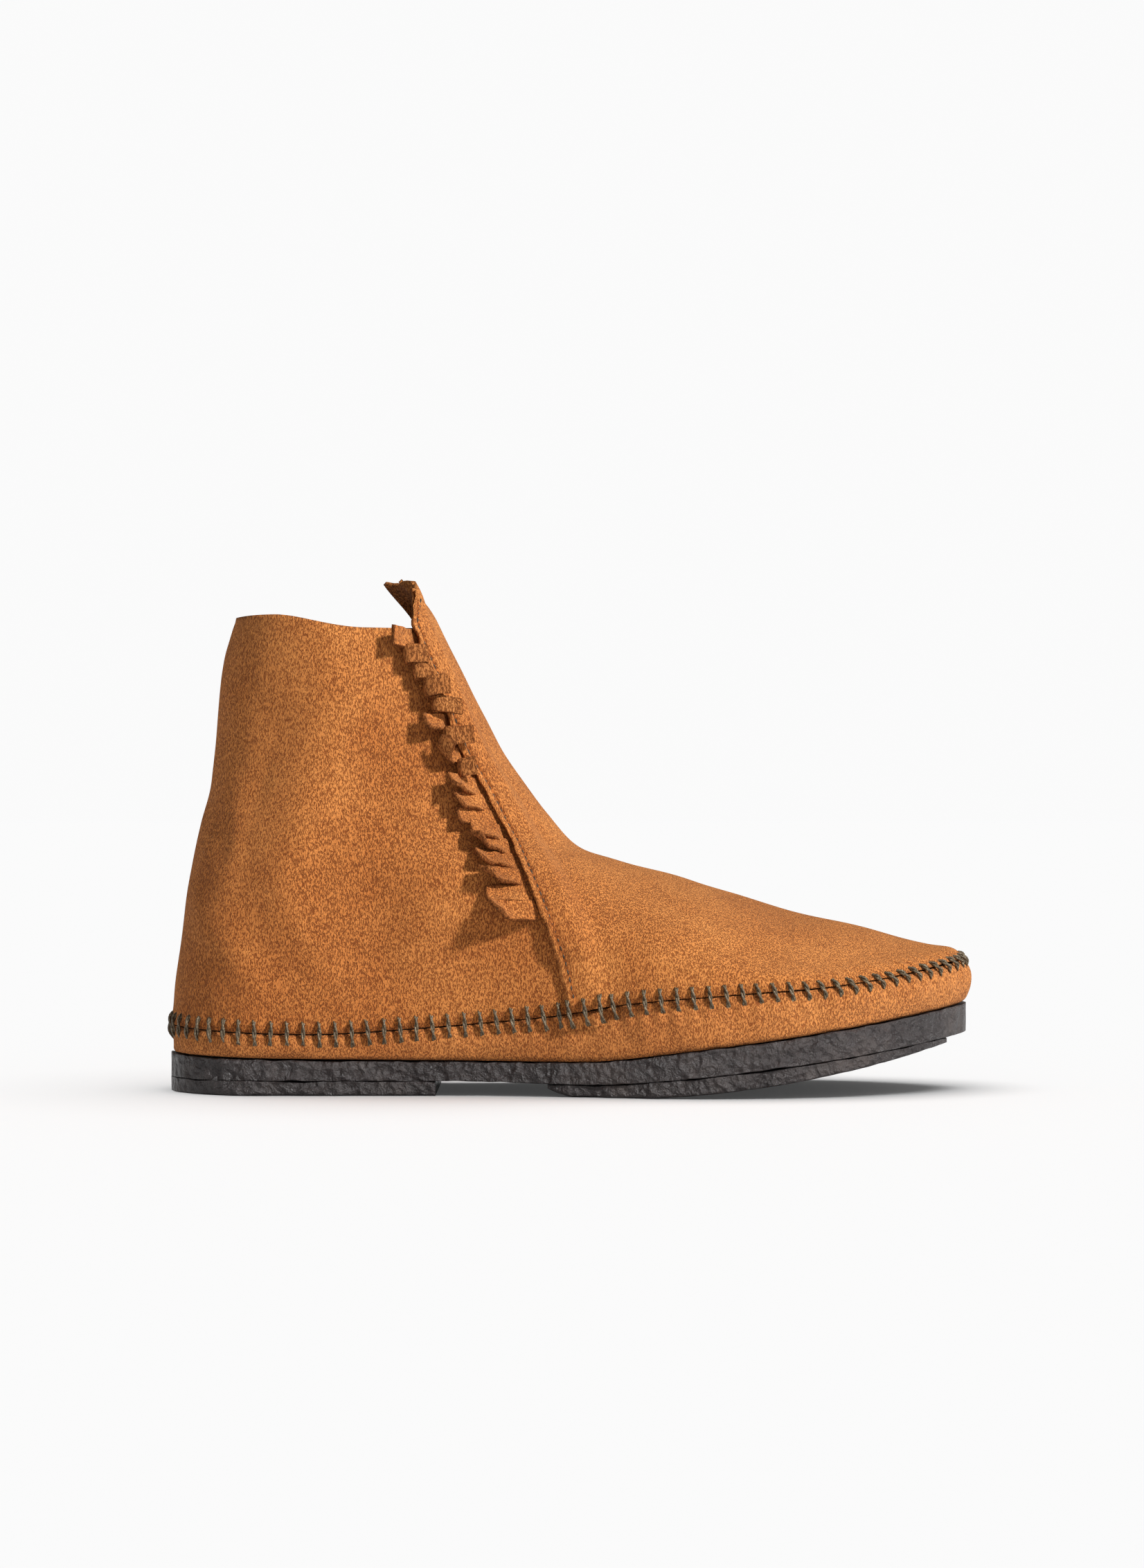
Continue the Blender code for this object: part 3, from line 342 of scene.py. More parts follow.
WRAP_HEIGHT = smooth_line([
    (0.0, 0.0088), (0.17, 0.0082), (0.32, 0.0105), (0.46, 0.0140), (0.57, 0.0172),
    (0.70, 0.0160), (0.82, 0.0141), (0.90, 0.0138), (1.0, 0.0143),
])
RIDGE_MIDDLE = smooth_line([(0.3, 0.0), (0.5, 0.0020), (0.62, 0.0040), (0.8, 0.0052), (1.0, 0.0055)])
BACK_X = smooth_line([
    (0.0, 0.0015), (0.1, 0.0045), (0.2, 0.0108), (0.3, 0.0165), (0.4, 0.0262), (0.5, 0.0385),
    (0.6, 0.0512), (0.7, 0.0577), (0.8, 0.0605), (0.9, 0.0665), (1.0, 0.0780), (TAB_LEVEL, 0.0800),
])
FRONT_X = smooth_line([
    (0.0, 0.9905), (0.03, 0.978), (0.08, 0.946), (0.17, 0.867), (0.27, 0.763), (0.36, 0.659),
    (0.45, 0.555), (0.50, 0.511), (0.58, 0.469), (0.68, 0.424), (0.80, 0.382), (0.90, 0.3535),
    (1.0, 0.3285), (1.04, 0.3195), (1.07, 0.3100), (1.10, 0.2975), (TAB_LEVEL, 0.2790),
])
FRONT_RISE = smooth_line([
    (0.0, 0.0), (0.03, 0.035), (0.08, 0.070), (0.17, 0.147), (0.27, 0.219), (0.36, 0.288),
    (0.45, 0.370), (0.50, 0.413), (0.58, 0.502), (0.68, 0.635), (0.80, 0.789), (0.90, 0.900),
    (1.0, 1.0), (TAB_LEVEL, 1.14),
])
SHAFT_MIX = smooth_line([(0.0, 0.0), (0.1, 0.16), (0.2, 0.38), (0.35, 0.75), (0.5, 1.0), (1.0, 1.0)])
SHAFT_TAPER = smooth_line([(0.0, 1.14), (0.2, 1.13), (0.5, 1.05), (0.75, 1.0), (1.0, 0.985)])
BACK_REACH = smooth_line([(0.0, 0.030), (0.3, 0.033), (0.5, 0.041), (0.72, 0.044), (1.0, 0.033)])
FRONT_REACH = smooth_line([
    (0.0, SOLE_TOE_REACH), (0.04, 0.060), (0.15, 0.088), (0.27, 0.090), (0.45, 0.078),
    (0.6, 0.062), (0.8, 0.046), (1.0, 0.034),
])
LATERAL_SEAM = smooth_line([
    (0.174, 0.498), (0.264, 0.486), (0.308, 0.479), (0.373, 0.463), (0.472, 0.435), (0.56, 0.4077),
    (0.631, 0.386), (0.713, 0.3585), (0.859, 0.3244), (0.94, 0.304), (0.985, 0.2957), (1.04, 0.3010),
])
ZIP_SEAM = smooth_line([(0.164, 0.4843), (0.99, 0.2850), (1.10, 0.2585)])


def seam_height(x):
    """Height of the whipped seam."""
    return sole_top(x) + WRAP_HEIGHT(share_at(x))


def last_point(level, angle):
    """Points of the plain shape at these levels and angles."""
    level, angle = np.broadcast_arrays(np.asarray(level, float), np.asarray(angle, float))
    back_x, front_x = x_at(BACK_X(level)), x_at(FRONT_X(level))
    back_z = seam_height(back_x) + level * (COLLAR_HEIGHT - seam_height(back_x))
    front_z = seam_height(front_x) + FRONT_RISE(level) * (COLLAR_HEIGHT - seam_height(front_x))
    share = (1 - np.cos(angle)) / 2
    x = back_x + (front_x - back_x) * share
    heel_x, toe_x = x_at(BACK_X(0.0)), x_at(FRONT_X(0.0))
    heel_z, toe_z = seam_height(heel_x), seam_height(toe_x)
    straight = heel_z + (toe_z - heel_z) * (x - heel_x) / (toe_x - heel_x)
    z = back_z + (front_z - back_z) * share + (seam_height(x) - straight) * blended(1 - level / 0.4)
    mix, place = SHAFT_MIX(level), share_at(x)
    half = (1 - mix) * (SOLE_WIDTH(place) + WRAP_FLARE) + mix * SHAFT_HALF_WIDTH * SHAFT_TAPER(level)
    half = half * rounded_end(x - back_x, BACK_REACH(level)) * rounded_end(front_x - x, FRONT_REACH(level))
    middle = (1 - mix) * SOLE_MIDDLE(place) + mix * RIDGE_MIDDLE(place)
    return np.stack([x, middle + half * np.where(np.sin(angle) < 0, -1, 1), z], axis=-1)


def seam_angles(seam):
    """A curve of the angle, by level, at which a seam given as height share against length share lies."""
    level = np.linspace(0, TAB_LEVEL, 300)
    low, high = np.zeros_like(level), np.full_like(level, math.pi)
    for _ in range(30):
        angle = (low + high) / 2
        point = last_point(level, angle)
        behind = point[..., 0] < x_at(seam(point[..., 2] / COLLAR_HEIGHT))
        low, high = np.where(behind, angle, low), np.where(behind, high, angle)
    return lambda at: np.interp(at, level, angle)


outer_seam, inner_seam = seam_angles(LATERAL_SEAM), seam_angles(ZIP_SEAM)


def unit(vector):
    return vector / np.maximum(np.linalg.norm(vector, axis=-1, keepdims=True), 1e-12)


def way_out(surface, level, angle, step=0.01):
    """The outward directions of a surface given by level and angle."""
    up = surface(level + step, angle) - surface(np.maximum(0, level - step), angle)
    along = surface(level, angle + step) - surface(level, angle - step)
    return unit(np.cross(up, along))


def zip_line(level):
    return last_point(level, inner_seam(level))


zip_line_foot, zip_line_head = zip_line(ZIP_FOOT / 2), zip_line(1.0)
zip_levels = np.linspace(ZIP_FOOT, 1, 9)
zip_out = way_out(last_point, zip_levels, inner_seam(zip_levels)).sum(axis=0)
zip_way = unit(zip_line_head - zip_line_foot)
zip_out = unit(zip_out - (zip_out @ zip_way) * zip_way)


def suede_point(level, angle):
    """Points of the suede's outer face, which the zip's tapes hold flat along the inner seam."""
    level, angle = np.broadcast_arrays(np.asarray(level, float), np.asarray(angle, float))
    point = last_point(level, angle)
    zip_angle = inner_seam(level)
    away = np.abs(point[..., 0] - last_point(level, zip_angle)[..., 0])
    held = blended(1.45 - away / ZIP_FLAT_REACH) * blended(1.7 * np.sin(angle) / np.sin(zip_angle))
    held = held * blended((level - 0.05) / (ZIP_FOOT - 0.08)) * blended(1 - (level - 1) / 0.12)
    point[..., 1] -= held * (np.sin(angle) > 0) * ((point - zip_line_foot) @ zip_out) / zip_out[1]
    return point


def suede_normal(level, angle):
    return way_out(suede_point, level, angle)


def angle_past(level, angle, distance, steps=16):
    """The angles this far from others along their levels, forwards where the distance is positive."""
    angle = np.array(np.broadcast_arrays(angle, distance, level)[0], float)
    side = np.where(np.sin(angle) < 0, -1, 1)
    for _ in range(steps):
        speed = np.linalg.norm(suede_point(level, angle + 0.002) - suede_point(level, angle - 0.002), axis=-1)
        angle = angle + side * distance / steps / np.maximum(speed / 0.004, 1e-4)
    return angle


def seam_run():
    """(angle, distance) round the whipped seam, from the toe by the outer side and the heel."""
    angles = np.linspace(-math.pi, math.pi, 2881)
    points = suede_point(0.0, angles)
    return angles, np.concatenate([[0], np.cumsum(np.linalg.norm(np.diff(points, axis=0), axis=1))])


run_angles, run_distances = seam_run()
WHIP_STITCHES = int(run_distances[-1] / 0.0050)


def pucker(angle, away):
    """How far the suede puffs out between whip stitches, this far from the seam's edge."""
    turned = (angle + math.pi) % (2 * math.pi) - math.pi
    stitch = np.interp(turned, run_angles, run_distances) / run_distances[-1] * WHIP_STITCHES
    puff = 0.5 - 0.5 * np.cos(2 * math.pi * stitch)
    near = np.exp(-((away - 0.0032) / 0.0026) ** 2)
    rolled = np.exp(-(away / 0.0011) ** 2)
    return 0.00050 * (puff - 0.55) * near - (0.00062 - 0.00022 * puff) * rolled


# SUEDE. Split leather napped on its outer face, tan to russet with darker pores. Painted shade darkens the
# hollows of folds and the grooves by seams, and painted highlight lightens the swells, with some random tone.
# Cut edges and the inner face are rougher and duller.


def add_sockets(tree, in_out, **kinds):
    """Named sockets on a node tree, of the kinds given as Vector, Color, Float and so on."""
    for name, kind in kinds.items():
        tree.interface.new_socket(name, in_out=in_out, socket_type="NodeSocket" + kind)


def nap_group():
    """Colour and height of brushed nap, from a place in metres."""
    group = bpy.data.node_groups.new("suede_nap", "ShaderNodeTree")
    add_sockets(group, "INPUT", Place="Vector", Dark="Color", Middle="Color", Light="Color", Grain="Float",
                Worn="Float")
    add_sockets(group, "OUTPUT", Colour="Color", Height="Float")
    given, made = group.nodes.new("NodeGroupInput").outputs, group.nodes.new("NodeGroupOutput")
    lean = add_node(group, "ShaderNodeMapping", i0=given["Place"], Rotation=(0, math.radians(38), 0),
                    Scale=(1.0, 1.0, 0.42)).outputs[0]
    pores = noise(group, lean, given["Grain"], 3, Roughness=0.55, Distortion=0.5)
    sunk = add_node(group, "ShaderNodeMapRange", {"interpolation_type": "SMOOTHSTEP"}, Value=pores, i1=0.36,
                    i2=0.56).outputs[0]
    fibres = noise(group, lean, 3200, 2, Roughness=0.7)
    clouds = noise(group, given["Place"], 42, 6, Roughness=0.62, Distortion=0.7)
    wide = noise(group, given["Place"], 11, 2, Distortion=0.4)
    # The per-point input lightens or darkens the nap: random tone together with painted shade and highlight.
    shade = given["Worn"]
    for mask, share in ((sunk, 0.85), (fibres, 0.55), (clouds, 0.85), (wide, 0.45)):
        shade = maths(group, "MULTIPLY_ADD", mask, share, shade)
    first = add_node(group, "ShaderNodeMix", {"data_type": "RGBA"}, i0=spread(group, shade, 0.92, 1.52),
                     i6=given["Dark"], i7=given["Middle"])
    second = add_node(group, "ShaderNodeMix", {"data_type": "RGBA"}, i0=spread(group, shade, 1.52, 2.02),
                      i6=first.outputs[2], i7=given["Light"])
    fill(group, made, Colour=second.outputs[2], Height=maths(group, "MULTIPLY_ADD", fibres, 0.5, sunk))
    return group


suede_nap = nap_group()


def suede_material(name, dark, middle, light, grain=2600, bump=0.00045, sheen=0.18):
    material, tree, surface = new_material(name)
    nap = tree.nodes.new("ShaderNodeGroup")
    nap.node_tree = suede_nap
    fill(tree, nap, Place=add_node(tree, "ShaderNodeTexCoord").outputs["Object"], Dark=(*dark, 1),
         Middle=(*middle, 1), Light=(*light, 1), Grain=grain,
         Worn=add_node(tree, "ShaderNodeAttribute", {"attribute_name": "worn"}).outputs["Fac"])
    fill(tree, surface, Base_Color=nap.outputs["Colour"], Roughness=0.95, Specular_IOR_Level=0.12,
         Normal=relief(tree, nap.outputs["Height"], 0.8, bump), Sheen_Weight=sheen, Sheen_Roughness=0.55,
         Sheen_Tint=(0.95, 0.62, 0.34, 1))
    return material


suede = suede_material("suede", (0.235, 0.060, 0.013), (0.500, 0.158, 0.036), (0.700, 0.270, 0.072))
# The wrap's colours are a slightly lighter copy of the suede's: painted light lifting the low wrap, which the
# key light reaches less.
wrap_suede = suede_material("wrap_suede", (0.245, 0.066, 0.016), (0.500, 0.162, 0.040), (0.700, 0.272, 0.076))
raw_suede = suede_material("raw_suede", (0.160, 0.050, 0.014), (0.330, 0.112, 0.030), (0.540, 0.215, 0.064),
                           grain=1900, bump=0.0005, sheen=0)


def mark_tone_and_shade(mesh, values):
    """Stores how much lighter, above 0, or darker, below 0, the nap is at each point: random tone with
    painted shade and highlight.
    """
    layer = mesh.attributes.new("worn", "FLOAT", "POINT")
    layer.data.foreach_set("value", np.asarray(values, np.float32).ravel())


def suede_sheet(name, points, worn, *nodes, material=None, thickness=SUEDE, body="boot"):
    """A cut piece of suede: the outer face through the points, thickened inwards, with raw edges."""
    mesh = grid_mesh(name, points)
    mark_tone_and_shade(mesh, worn)
    obj = piece(name, mesh, material or suede, raw_suede)
    thick = obj.modifiers.new("thickness", "SOLIDIFY")
    thick.thickness, thick.offset, thick.use_even_offset = thickness, -1, True
    thick.material_offset = thick.material_offset_rim = 1
    return belongs(obj, body, "suede", *nodes)


# SOLE WRAP. The suede pan that the sole is stuck to. Its rim is gathered to the upper by the whipped
# seam, so it puffs out between the stitches, and its foot is pulled in over the rubber.


def wrap_point(share, angle):
    """Points of the wrap's outer face: share 0 on the outsole's edge, 1 at the whipped seam."""
    swell = np.sin(np.pi * np.clip(share, 0, 1))
    back = x_at(0) + (x_at(BACK_X(0.0)) - x_at(0)) * share + 0.0006 * (1 - share) - 0.0003 * swell
    low_front, high_front = x_at(SOLE_TOE) - 0.0006, x_at(FRONT_X(0.0))
    front = low_front + (high_front - low_front) * share + TOE_BULGE * swell
    x = back + (front - back) * (1 - np.cos(angle)) / 2
    half = SOLE_WIDTH(share_at(x)) - 0.0006 + (WRAP_FLARE + 0.0006) * share + WRAP_BULGE * swell
    half = half * rounded_end(x - back, SOLE_HEEL_REACH) * rounded_end(front - x, SOLE_TOE_REACH)
    low = sole_top(x) + 0.0001
    z = low + (seam_height(x) - 0.0001 - low) * share
    return np.stack([x, SOLE_MIDDLE(share_at(x)) + half * np.where(np.sin(angle) < 0, -1, 1), z], axis=-1)


def make_wrap():
    columns, rows = 900, 20
    # Evenly spread along the seam rather than in angle.
    angles = np.interp(np.linspace(0, run_distances[-1], columns, endpoint=False), run_distances, run_angles)
    share = np.linspace(1, 0, rows)[:, None] ** 0.9
    points = wrap_point(share, angles[None, :])
    turn = angles[None, :]
    up = wrap_point(np.minimum(share + 0.02, 1), turn) - wrap_point(np.maximum(share - 0.02, 0), turn)
    along = wrap_point(share, turn + 0.01) - wrap_point(share, turn - 0.01)
    out = unit(np.cross(up, along))
    away = (1 - share) * 0.0135
    points = points + out * (1.1 * pucker(angles[None, :] + 0 * share, away)
                             + 0.00022 * ripple(points, 0.006, 5) * np.sin(np.pi * share)
                             + 0.00035 * ripple(points, 0.018, 6) * np.sin(np.pi * share)
                             - 0.0008 * np.exp(-(share * 0.0135 / 0.0008) ** 2))[..., None]
    # The pan's bottom, drawn in towards the middle line.
    rim = points[-1]
    middle = np.stack([rim[:, 0], SOLE_MIDDLE(share_at(rim[:, 0])), rim[:, 2]], axis=-1)
    bottom = np.stack([rim + (middle - rim) * inwards for inwards in (0.08, 0.5, 0.985)])
    points = np.concatenate([points, bottom])
    worn = np.full(points.shape[:2], 0.0)
    # Painted shade: the nap is darkened along the groove of the whipped seam and in the corner where the wrap
    # meets the sole.
    worn[:rows] = -0.16 * np.exp(-((1 - share) / 0.12) ** 2) - 0.10 * np.exp(-(share / 0.10) ** 2)
    mesh = grid_mesh("wrap_suede", points, around=True)
    mark_tone_and_shade(mesh, worn)
    obj = piece("wrap_suede", mesh, wrap_suede, raw_suede)
    shell = bmesh.new()
    shell.from_mesh(mesh)
    open_edges = [e for e in shell.edges if e.is_boundary]
    inner = [e for e in open_edges if all(v.index >= (rows + 2) * columns for v in e.verts)]
    bmesh.ops.holes_fill(shell, edges=inner, sides=0)
    bmesh.ops.recalc_face_normals(shell, faces=shell.faces)
    lowest = min(shell.faces, key=lambda face: face.calc_center_median().z)
    if lowest.normal.z > 0:
        bmesh.ops.reverse_faces(shell, faces=shell.faces)
    shell.to_mesh(mesh)
    shell.free()
    thick = obj.modifiers.new("thickness", "SOLIDIFY")
    thick.thickness, thick.offset = SUEDE, -1
    thick.material_offset = thick.material_offset_rim = 1
    belongs(obj, "boot", "suede", "sole_wrap")


make_wrap()

# UPPER. Two pieces of suede: a quarter round the heel, and a front panel that laps over it on the
# outer side. Both are a little rumpled from wear, and soft folds gather at the ankle and the instep.

FRINGE_FOOT_LEVEL = 0.20
TAB_THICKNESS = 0.0012

# Soft hollows (-) and swells (+) in the suede: side, X, height, half sizes along and across, tilt in
# degrees from upright, and depth, all in millimetres but the tilt.
RUMPLES = [
    (-1, -58, 92, 15, 26, -8, -2.2), (-1, -84, 84, 9, 34, -10, 1.5), (-1, -62, 52, 10, 22, 12, -1.2),
    (-1, -82, 48, 6, 22, 25, 1.0), (-1, -100, 60, 8, 20, 18, -1.0), (-1, -104, 42, 5, 12, 30, 0.9),
    (-1, -40, 62, 12, 18, -20, 0.9), (-1, -92, 118, 14, 20, 0, -0.9), (-1, -70, 128, 16, 16, 0, 0.5),
    (-1, -112, 86, 4, 15, 14, -0.8), (-1, -106, 76, 3, 13, -12, 0.6), (-1, -115, 54, 4, 12, 24, 0.6),
    (-1, -98, 96, 4, 14, -20, -0.7), (-1, 12, 60, 10, 20, 40, -0.8), (-1, 30, 48, 16, 10, 60, 0.7),
    (-1, 62, 46, 18, 8, 75, -0.5),
    (1, -62, 88, 16, 28, 8, -1.6), (1, -88, 80, 10, 32, -8, 1.2), (1, -75, 45, 12, 18, 15, -0.9),
    (1, 20, 52, 14, 16, 45, -0.8), (1, 50, 46, 18, 10, 70, 0.6),
]


def rumple(points):
    """Depth of the soft folds at points of the suede, in metres."""
    total = 0.00035 * ripple(points, 0.030, 41) + 0.00012 * ripple(points, 0.011, 42)
    for side, x, z, wide, tall, tilt, depth in RUMPLES:
        dx, dz = points[..., 0] * 1000 - x, points[..., 2] * 1000 - z
        turn = math.radians(tilt)
        across, up = dx * math.cos(turn) + dz * math.sin(turn), dz * math.cos(turn) - dx * math.sin(turn)
        here = np.exp(-(across / wide) ** 2 - (up / tall) ** 2) * blended(0.5 + side * points[..., 1] / 0.02)
        total = total + 0.001 * depth * here
    return total


def band_raise(level):
    return (TAB_THICKNESS + GAP) * blended((level - FRINGE_FOOT_LEVEL + 0.07) / 0.06)


def lap_offset(level, distance):
    """How far the front panel stands off where it laps over, this far in from its outer edge."""
    raised = SUEDE + 1.6 * GAP + band_raise(level)
    return raised * (1 - blended((distance - LAP - 0.0005) / 0.008))


def quarter_top(share):
    return 1 - 0.027 * blended((share - 0.3) / 0.3)


def uneven_rows(rows, near):
    """Shares from 0 to 1 that start close together."""
    t = np.linspace(0, 1, rows)
    return t * (near + (1 - near) * t)


def cut_by_hand(turn, depth, seed):
    """How far a top edge strays from its line, over the share of the way round."""
    return depth * ripple(np.stack([turn * 0.1, 0 * turn, 0 * turn], -1), 0.02, seed)


def calm_near(distance, reach):
    """0 at an edge, 1 past its reach: folds die away towards seams."""
    return blended(distance / reach)


def make_quarter():
    rows, columns = 150, 230
    turn = np.linspace(-1, 1, columns)[None, :]
    rise = uneven_rows(rows, 0.45)[:, None]
    top = quarter_top(0.8 * np.abs(turn)) + cut_by_hand(turn, 0.0025, 8)
    level = 0.0012 + (top - 0.0012) * rise
    outer = angle_past(level, -outer_seam(level), LAP - 0.0008)
    inner = angle_past(level, inner_seam(level), -ZIP_HALF_OPENING)
    angle = np.where(turn < 0, -turn * outer, turn * inner)
    points, out = suede_point(level, angle), suede_normal(level, angle)
    away = level * (COLLAR_HEIGHT - 0.022)
    calm = calm_near(away, 0.020) * calm_near(1.0 - np.abs(turn), 0.10)
    calm = calm * (0.35 + 0.65 * calm_near(1 - rise, 0.2))
    shift = rumple(points) * calm + pucker(angle, away)
    # The rim of the collar rolls in a little.
    shift = shift - 0.0006 * np.exp(-((1 - rise) / 0.02) ** 2)
    points = points + out * shift[..., None]
    # Painted shade and highlight: darker in the folds' hollows and along the whipped seam's groove, lighter
    # on swells, and painted shade over the heel's back.
    worn = 0.5 * shift * 60 - 0.20 * np.exp(-(away / 0.0022) ** 2)
    worn = worn - 0.10 * np.exp(-((points[..., 0] + 0.118) / 0.016) ** 2)
    # Rows run from the outer lap by the heel to the zip, so they are turned to face outwards.
    suede_sheet("quarter_suede", points[:, ::-1], worn[:, ::-1], "quarter")


TAB_TOP = smooth_line([(-1.0, 1.050), (-0.8, 1.068), (-0.5, 1.090), (0.0, 1.098), (0.6, 1.092), (1.0, 1.094)])


def make_front_panel():
    rows, columns = 150, 300
    turn = np.linspace(-1, 1, columns)[None, :]
    rise = uneven_rows(rows, 0.40)[:, None]
    tip = np.exp(-(turn / 0.5) ** 2)
    low = 0.0016 + 0.0045 * tip
    level = low + (TAB_TOP(turn) + cut_by_hand(turn, 0.003, 9) - low) * rise
    edge_out = -outer_seam(level)
    edge_in = angle_past(level, inner_seam(level), ZIP_HALF_OPENING)
    far_in = edge_in - 2 * math.pi
    # Angles run from the outer edge forwards over the toe to the zip.
    to_toe = edge_out + (-math.pi - edge_out) * (1 + turn)
    angle = np.where(turn < 0, to_toe, -math.pi + (far_in + math.pi) * turn)
    points, out = suede_point(level, angle), suede_normal(level, angle)
    reach = np.cumsum(np.linalg.norm(np.diff(points, axis=1, prepend=points[:, :1]), axis=-1), axis=1)
    away = level * (COLLAR_HEIGHT - 0.03)
    calm = calm_near(away, 0.020) * calm_near(reach, 0.020) * calm_near(reach[:, -1:] - reach, 0.014)
    raised = lap_offset(level, reach)
    shift = rumple(points) * calm + pucker(angle, away) + raised
    # The row of stitches pulls the edge down, and the edge itself waves.
    stitched = np.exp(-((reach - 0.0023) / 0.0006) ** 2)
    bead = np.exp(-((reach - 0.0010) / 0.0008) ** 2)
    edge = np.exp(-(reach / 0.0016) ** 2)
    shift = shift - 0.00060 * stitched + 0.00045 * bead + 0.00045 * edge * ripple(points, 0.006, 13)
    points = points + out * shift[..., None]
    points[..., 0] += 0.0003 * np.exp(-(reach / 0.0015) ** 2) * ripple(points, 0.004, 14)
    # The tab at the top leans back over the opening.
    points[..., 0] -= 0.0030 * blended((level - 0.99) / 0.12)
    # Painted shade and highlight: darker in the folds' hollows, along the sunk stitch line and the whipped
    # seam's groove, lighter on swells and on the raised edge bead. It is also lighter over a broad band about
    # 20 mm ahead of mid-length.
    worn = 0.5 * (shift - raised) * 60 - 0.20 * np.exp(-(away / 0.0022) ** 2)
    worn = worn + 0.12 * np.exp(-(reach / 0.0016) ** 2) - 0.45 * stitched
    worn = worn + 0.10 * np.exp(-((points[..., 0] - 0.02) / 0.05) ** 2)
    suede_sheet("front_suede", points, worn, "front_panel")


make_quarter()
make_front_panel()

# WHIPPED SEAM. Waxed olive-brown thread, doubled and twisted, goes over the edges of the wrap and the
# upper. It is sewn by hand, so stitches lean a little, and more round the toe.


def seam_stitch_tree():
    """Sets one shape along a path at an even pitch. The path's points carry which way is out."""
    tree = bpy.data.node_groups.new("stitches_along_seam", "GeometryNodeTree")
    add_sockets(tree, "INPUT", Path="Geometry", Shape="Object", Pitch="Float", Lean="Float", Uneven="Float",
                Seed="Int", Surface="Material")
    add_sockets(tree, "OUTPUT", Stitches="Geometry")
    given, made = tree.nodes.new("NodeGroupInput").outputs, tree.nodes.new("NodeGroupOutput")
    curve = add_node(tree, "GeometryNodeMeshToCurve", Mesh=given["Path"])
    spaced = add_node(tree, "GeometryNodeResampleCurve", {"mode": "LENGTH"}, Curve=curve.outputs[0],
                      Length=given["Pitch"])
    out, size, lean = (
        add_node(tree, "GeometryNodeInputNamedAttribute", {"data_type": kind}, Name=name).outputs[0]
        for name, kind in (("out", "FLOAT_VECTOR"), ("size", "FLOAT"), ("lean", "FLOAT"))
    )
    along = add_node(tree, "GeometryNodeInputTangent")
    turn = add_node(tree, "FunctionNodeAxesToRotation", {"primary_axis": "Z", "secondary_axis": "X"},
                    i0=out, i1=along.outputs[0])
    chance = add_node(tree, "FunctionNodeRandomValue", {"data_type": "FLOAT"}, i2=-1.0, i3=1.0,
                      Seed=given["Seed"])
    waver = maths(tree, "MULTIPLY_ADD", chance.outputs[1], given["Uneven"], lean)
    spin = add_node(tree, "ShaderNodeCombineXYZ", Z=maths(tree, "ADD", waver, given["Lean"]))
    leaned = add_node(tree, "FunctionNodeRotateRotation", {"rotation_space": "LOCAL"}, i0=turn.outputs[0],
                      i1=spin.outputs[0])
    stretch = add_node(tree, "ShaderNodeCombineXYZ", X=1.0, Y=size, Z=1.0)
    shape = add_node(tree, "GeometryNodeObjectInfo", i0=given["Shape"])
    placed = add_node(tree, "GeometryNodeInstanceOnPoints", Points=spaced.outputs[0],
                      Instance=shape.outputs["Geometry"], Rotation=leaned.outputs[0],
                      Scale=stretch.outputs[0])
    real = add_node(tree, "GeometryNodeRealizeInstances", i0=placed.outputs[0])
    finished = add_node(tree, "GeometryNodeSetMaterial", Geometry=real.outputs[0], Material=given["Surface"])
    fill(tree, made, Stitches=finished.outputs[0])
    return tree


stitch_tree = seam_stitch_tree()


def stitches(name, path, out, shape, pitch, material, node, lean=0.0, size=1.0, leans=0.0, uneven=0.0, seed=1,
             slot="thread", body="boot"):
    """Lays a shape along a path by the stitch tree and turns the result into one plain piece."""
    mesh = bpy.data.meshes.new(name + "_path")
    count = len(path)
    mesh.from_pydata((path + BOOT_MIDDLE).tolist(), [(i, i + 1) for i in range(count - 1)], [])
    for key, kind, field, shape_of, values in (("out", "FLOAT_VECTOR", "vector", (count, 3), out),
                                               ("size", "FLOAT", "value", (count,), size),
                                               ("lean", "FLOAT", "value", (count,), leans)):
        data = np.broadcast_to(np.asarray(values, np.float32), shape_of)
        mesh.attributes.new(key, kind, "POINT").data.foreach_set(field, np.ascontiguousarray(data).ravel())
    guide = bpy.data.objects.new(name + "_guide", mesh)
    scene.collection.objects.link(guide)
    modifier = guide.modifiers.new("stitches", "NODES")
    modifier.node_group = stitch_tree
    items = stitch_tree.interface.items_tree
    sockets = {item.name: item.identifier for item in items if item.in_out == "INPUT"}
    for key, value in (("Shape", shape), ("Pitch", pitch), ("Lean", lean), ("Uneven", uneven), ("Seed", seed),
                       ("Surface", material)):
        modifier[sockets[key]] = value
    bpy.context.view_layer.update()
    result = bpy.data.meshes.new_from_object(guide.evaluated_get(bpy.context.evaluated_depsgraph_get()))
    bpy.data.objects.remove(guide)
    obj = bpy.data.objects.new(name, result)
    scene.collection.objects.link(obj)
    result.materials.clear()
    result.materials.append(material)
    result.shade_smooth()
    return belongs(obj, body, slot, node)


def shape_object(name, rings):
    """A small shape to repeat, from rows of points round it. It is taken out of the scene after use."""
    mesh = grid_mesh(name, np.asarray(rings, float) - BOOT_MIDDLE, around=True)
    close_ends(mesh)
    obj = bpy.data.objects.new(name, mesh)
    scene.collection.objects.link(obj)
    return obj


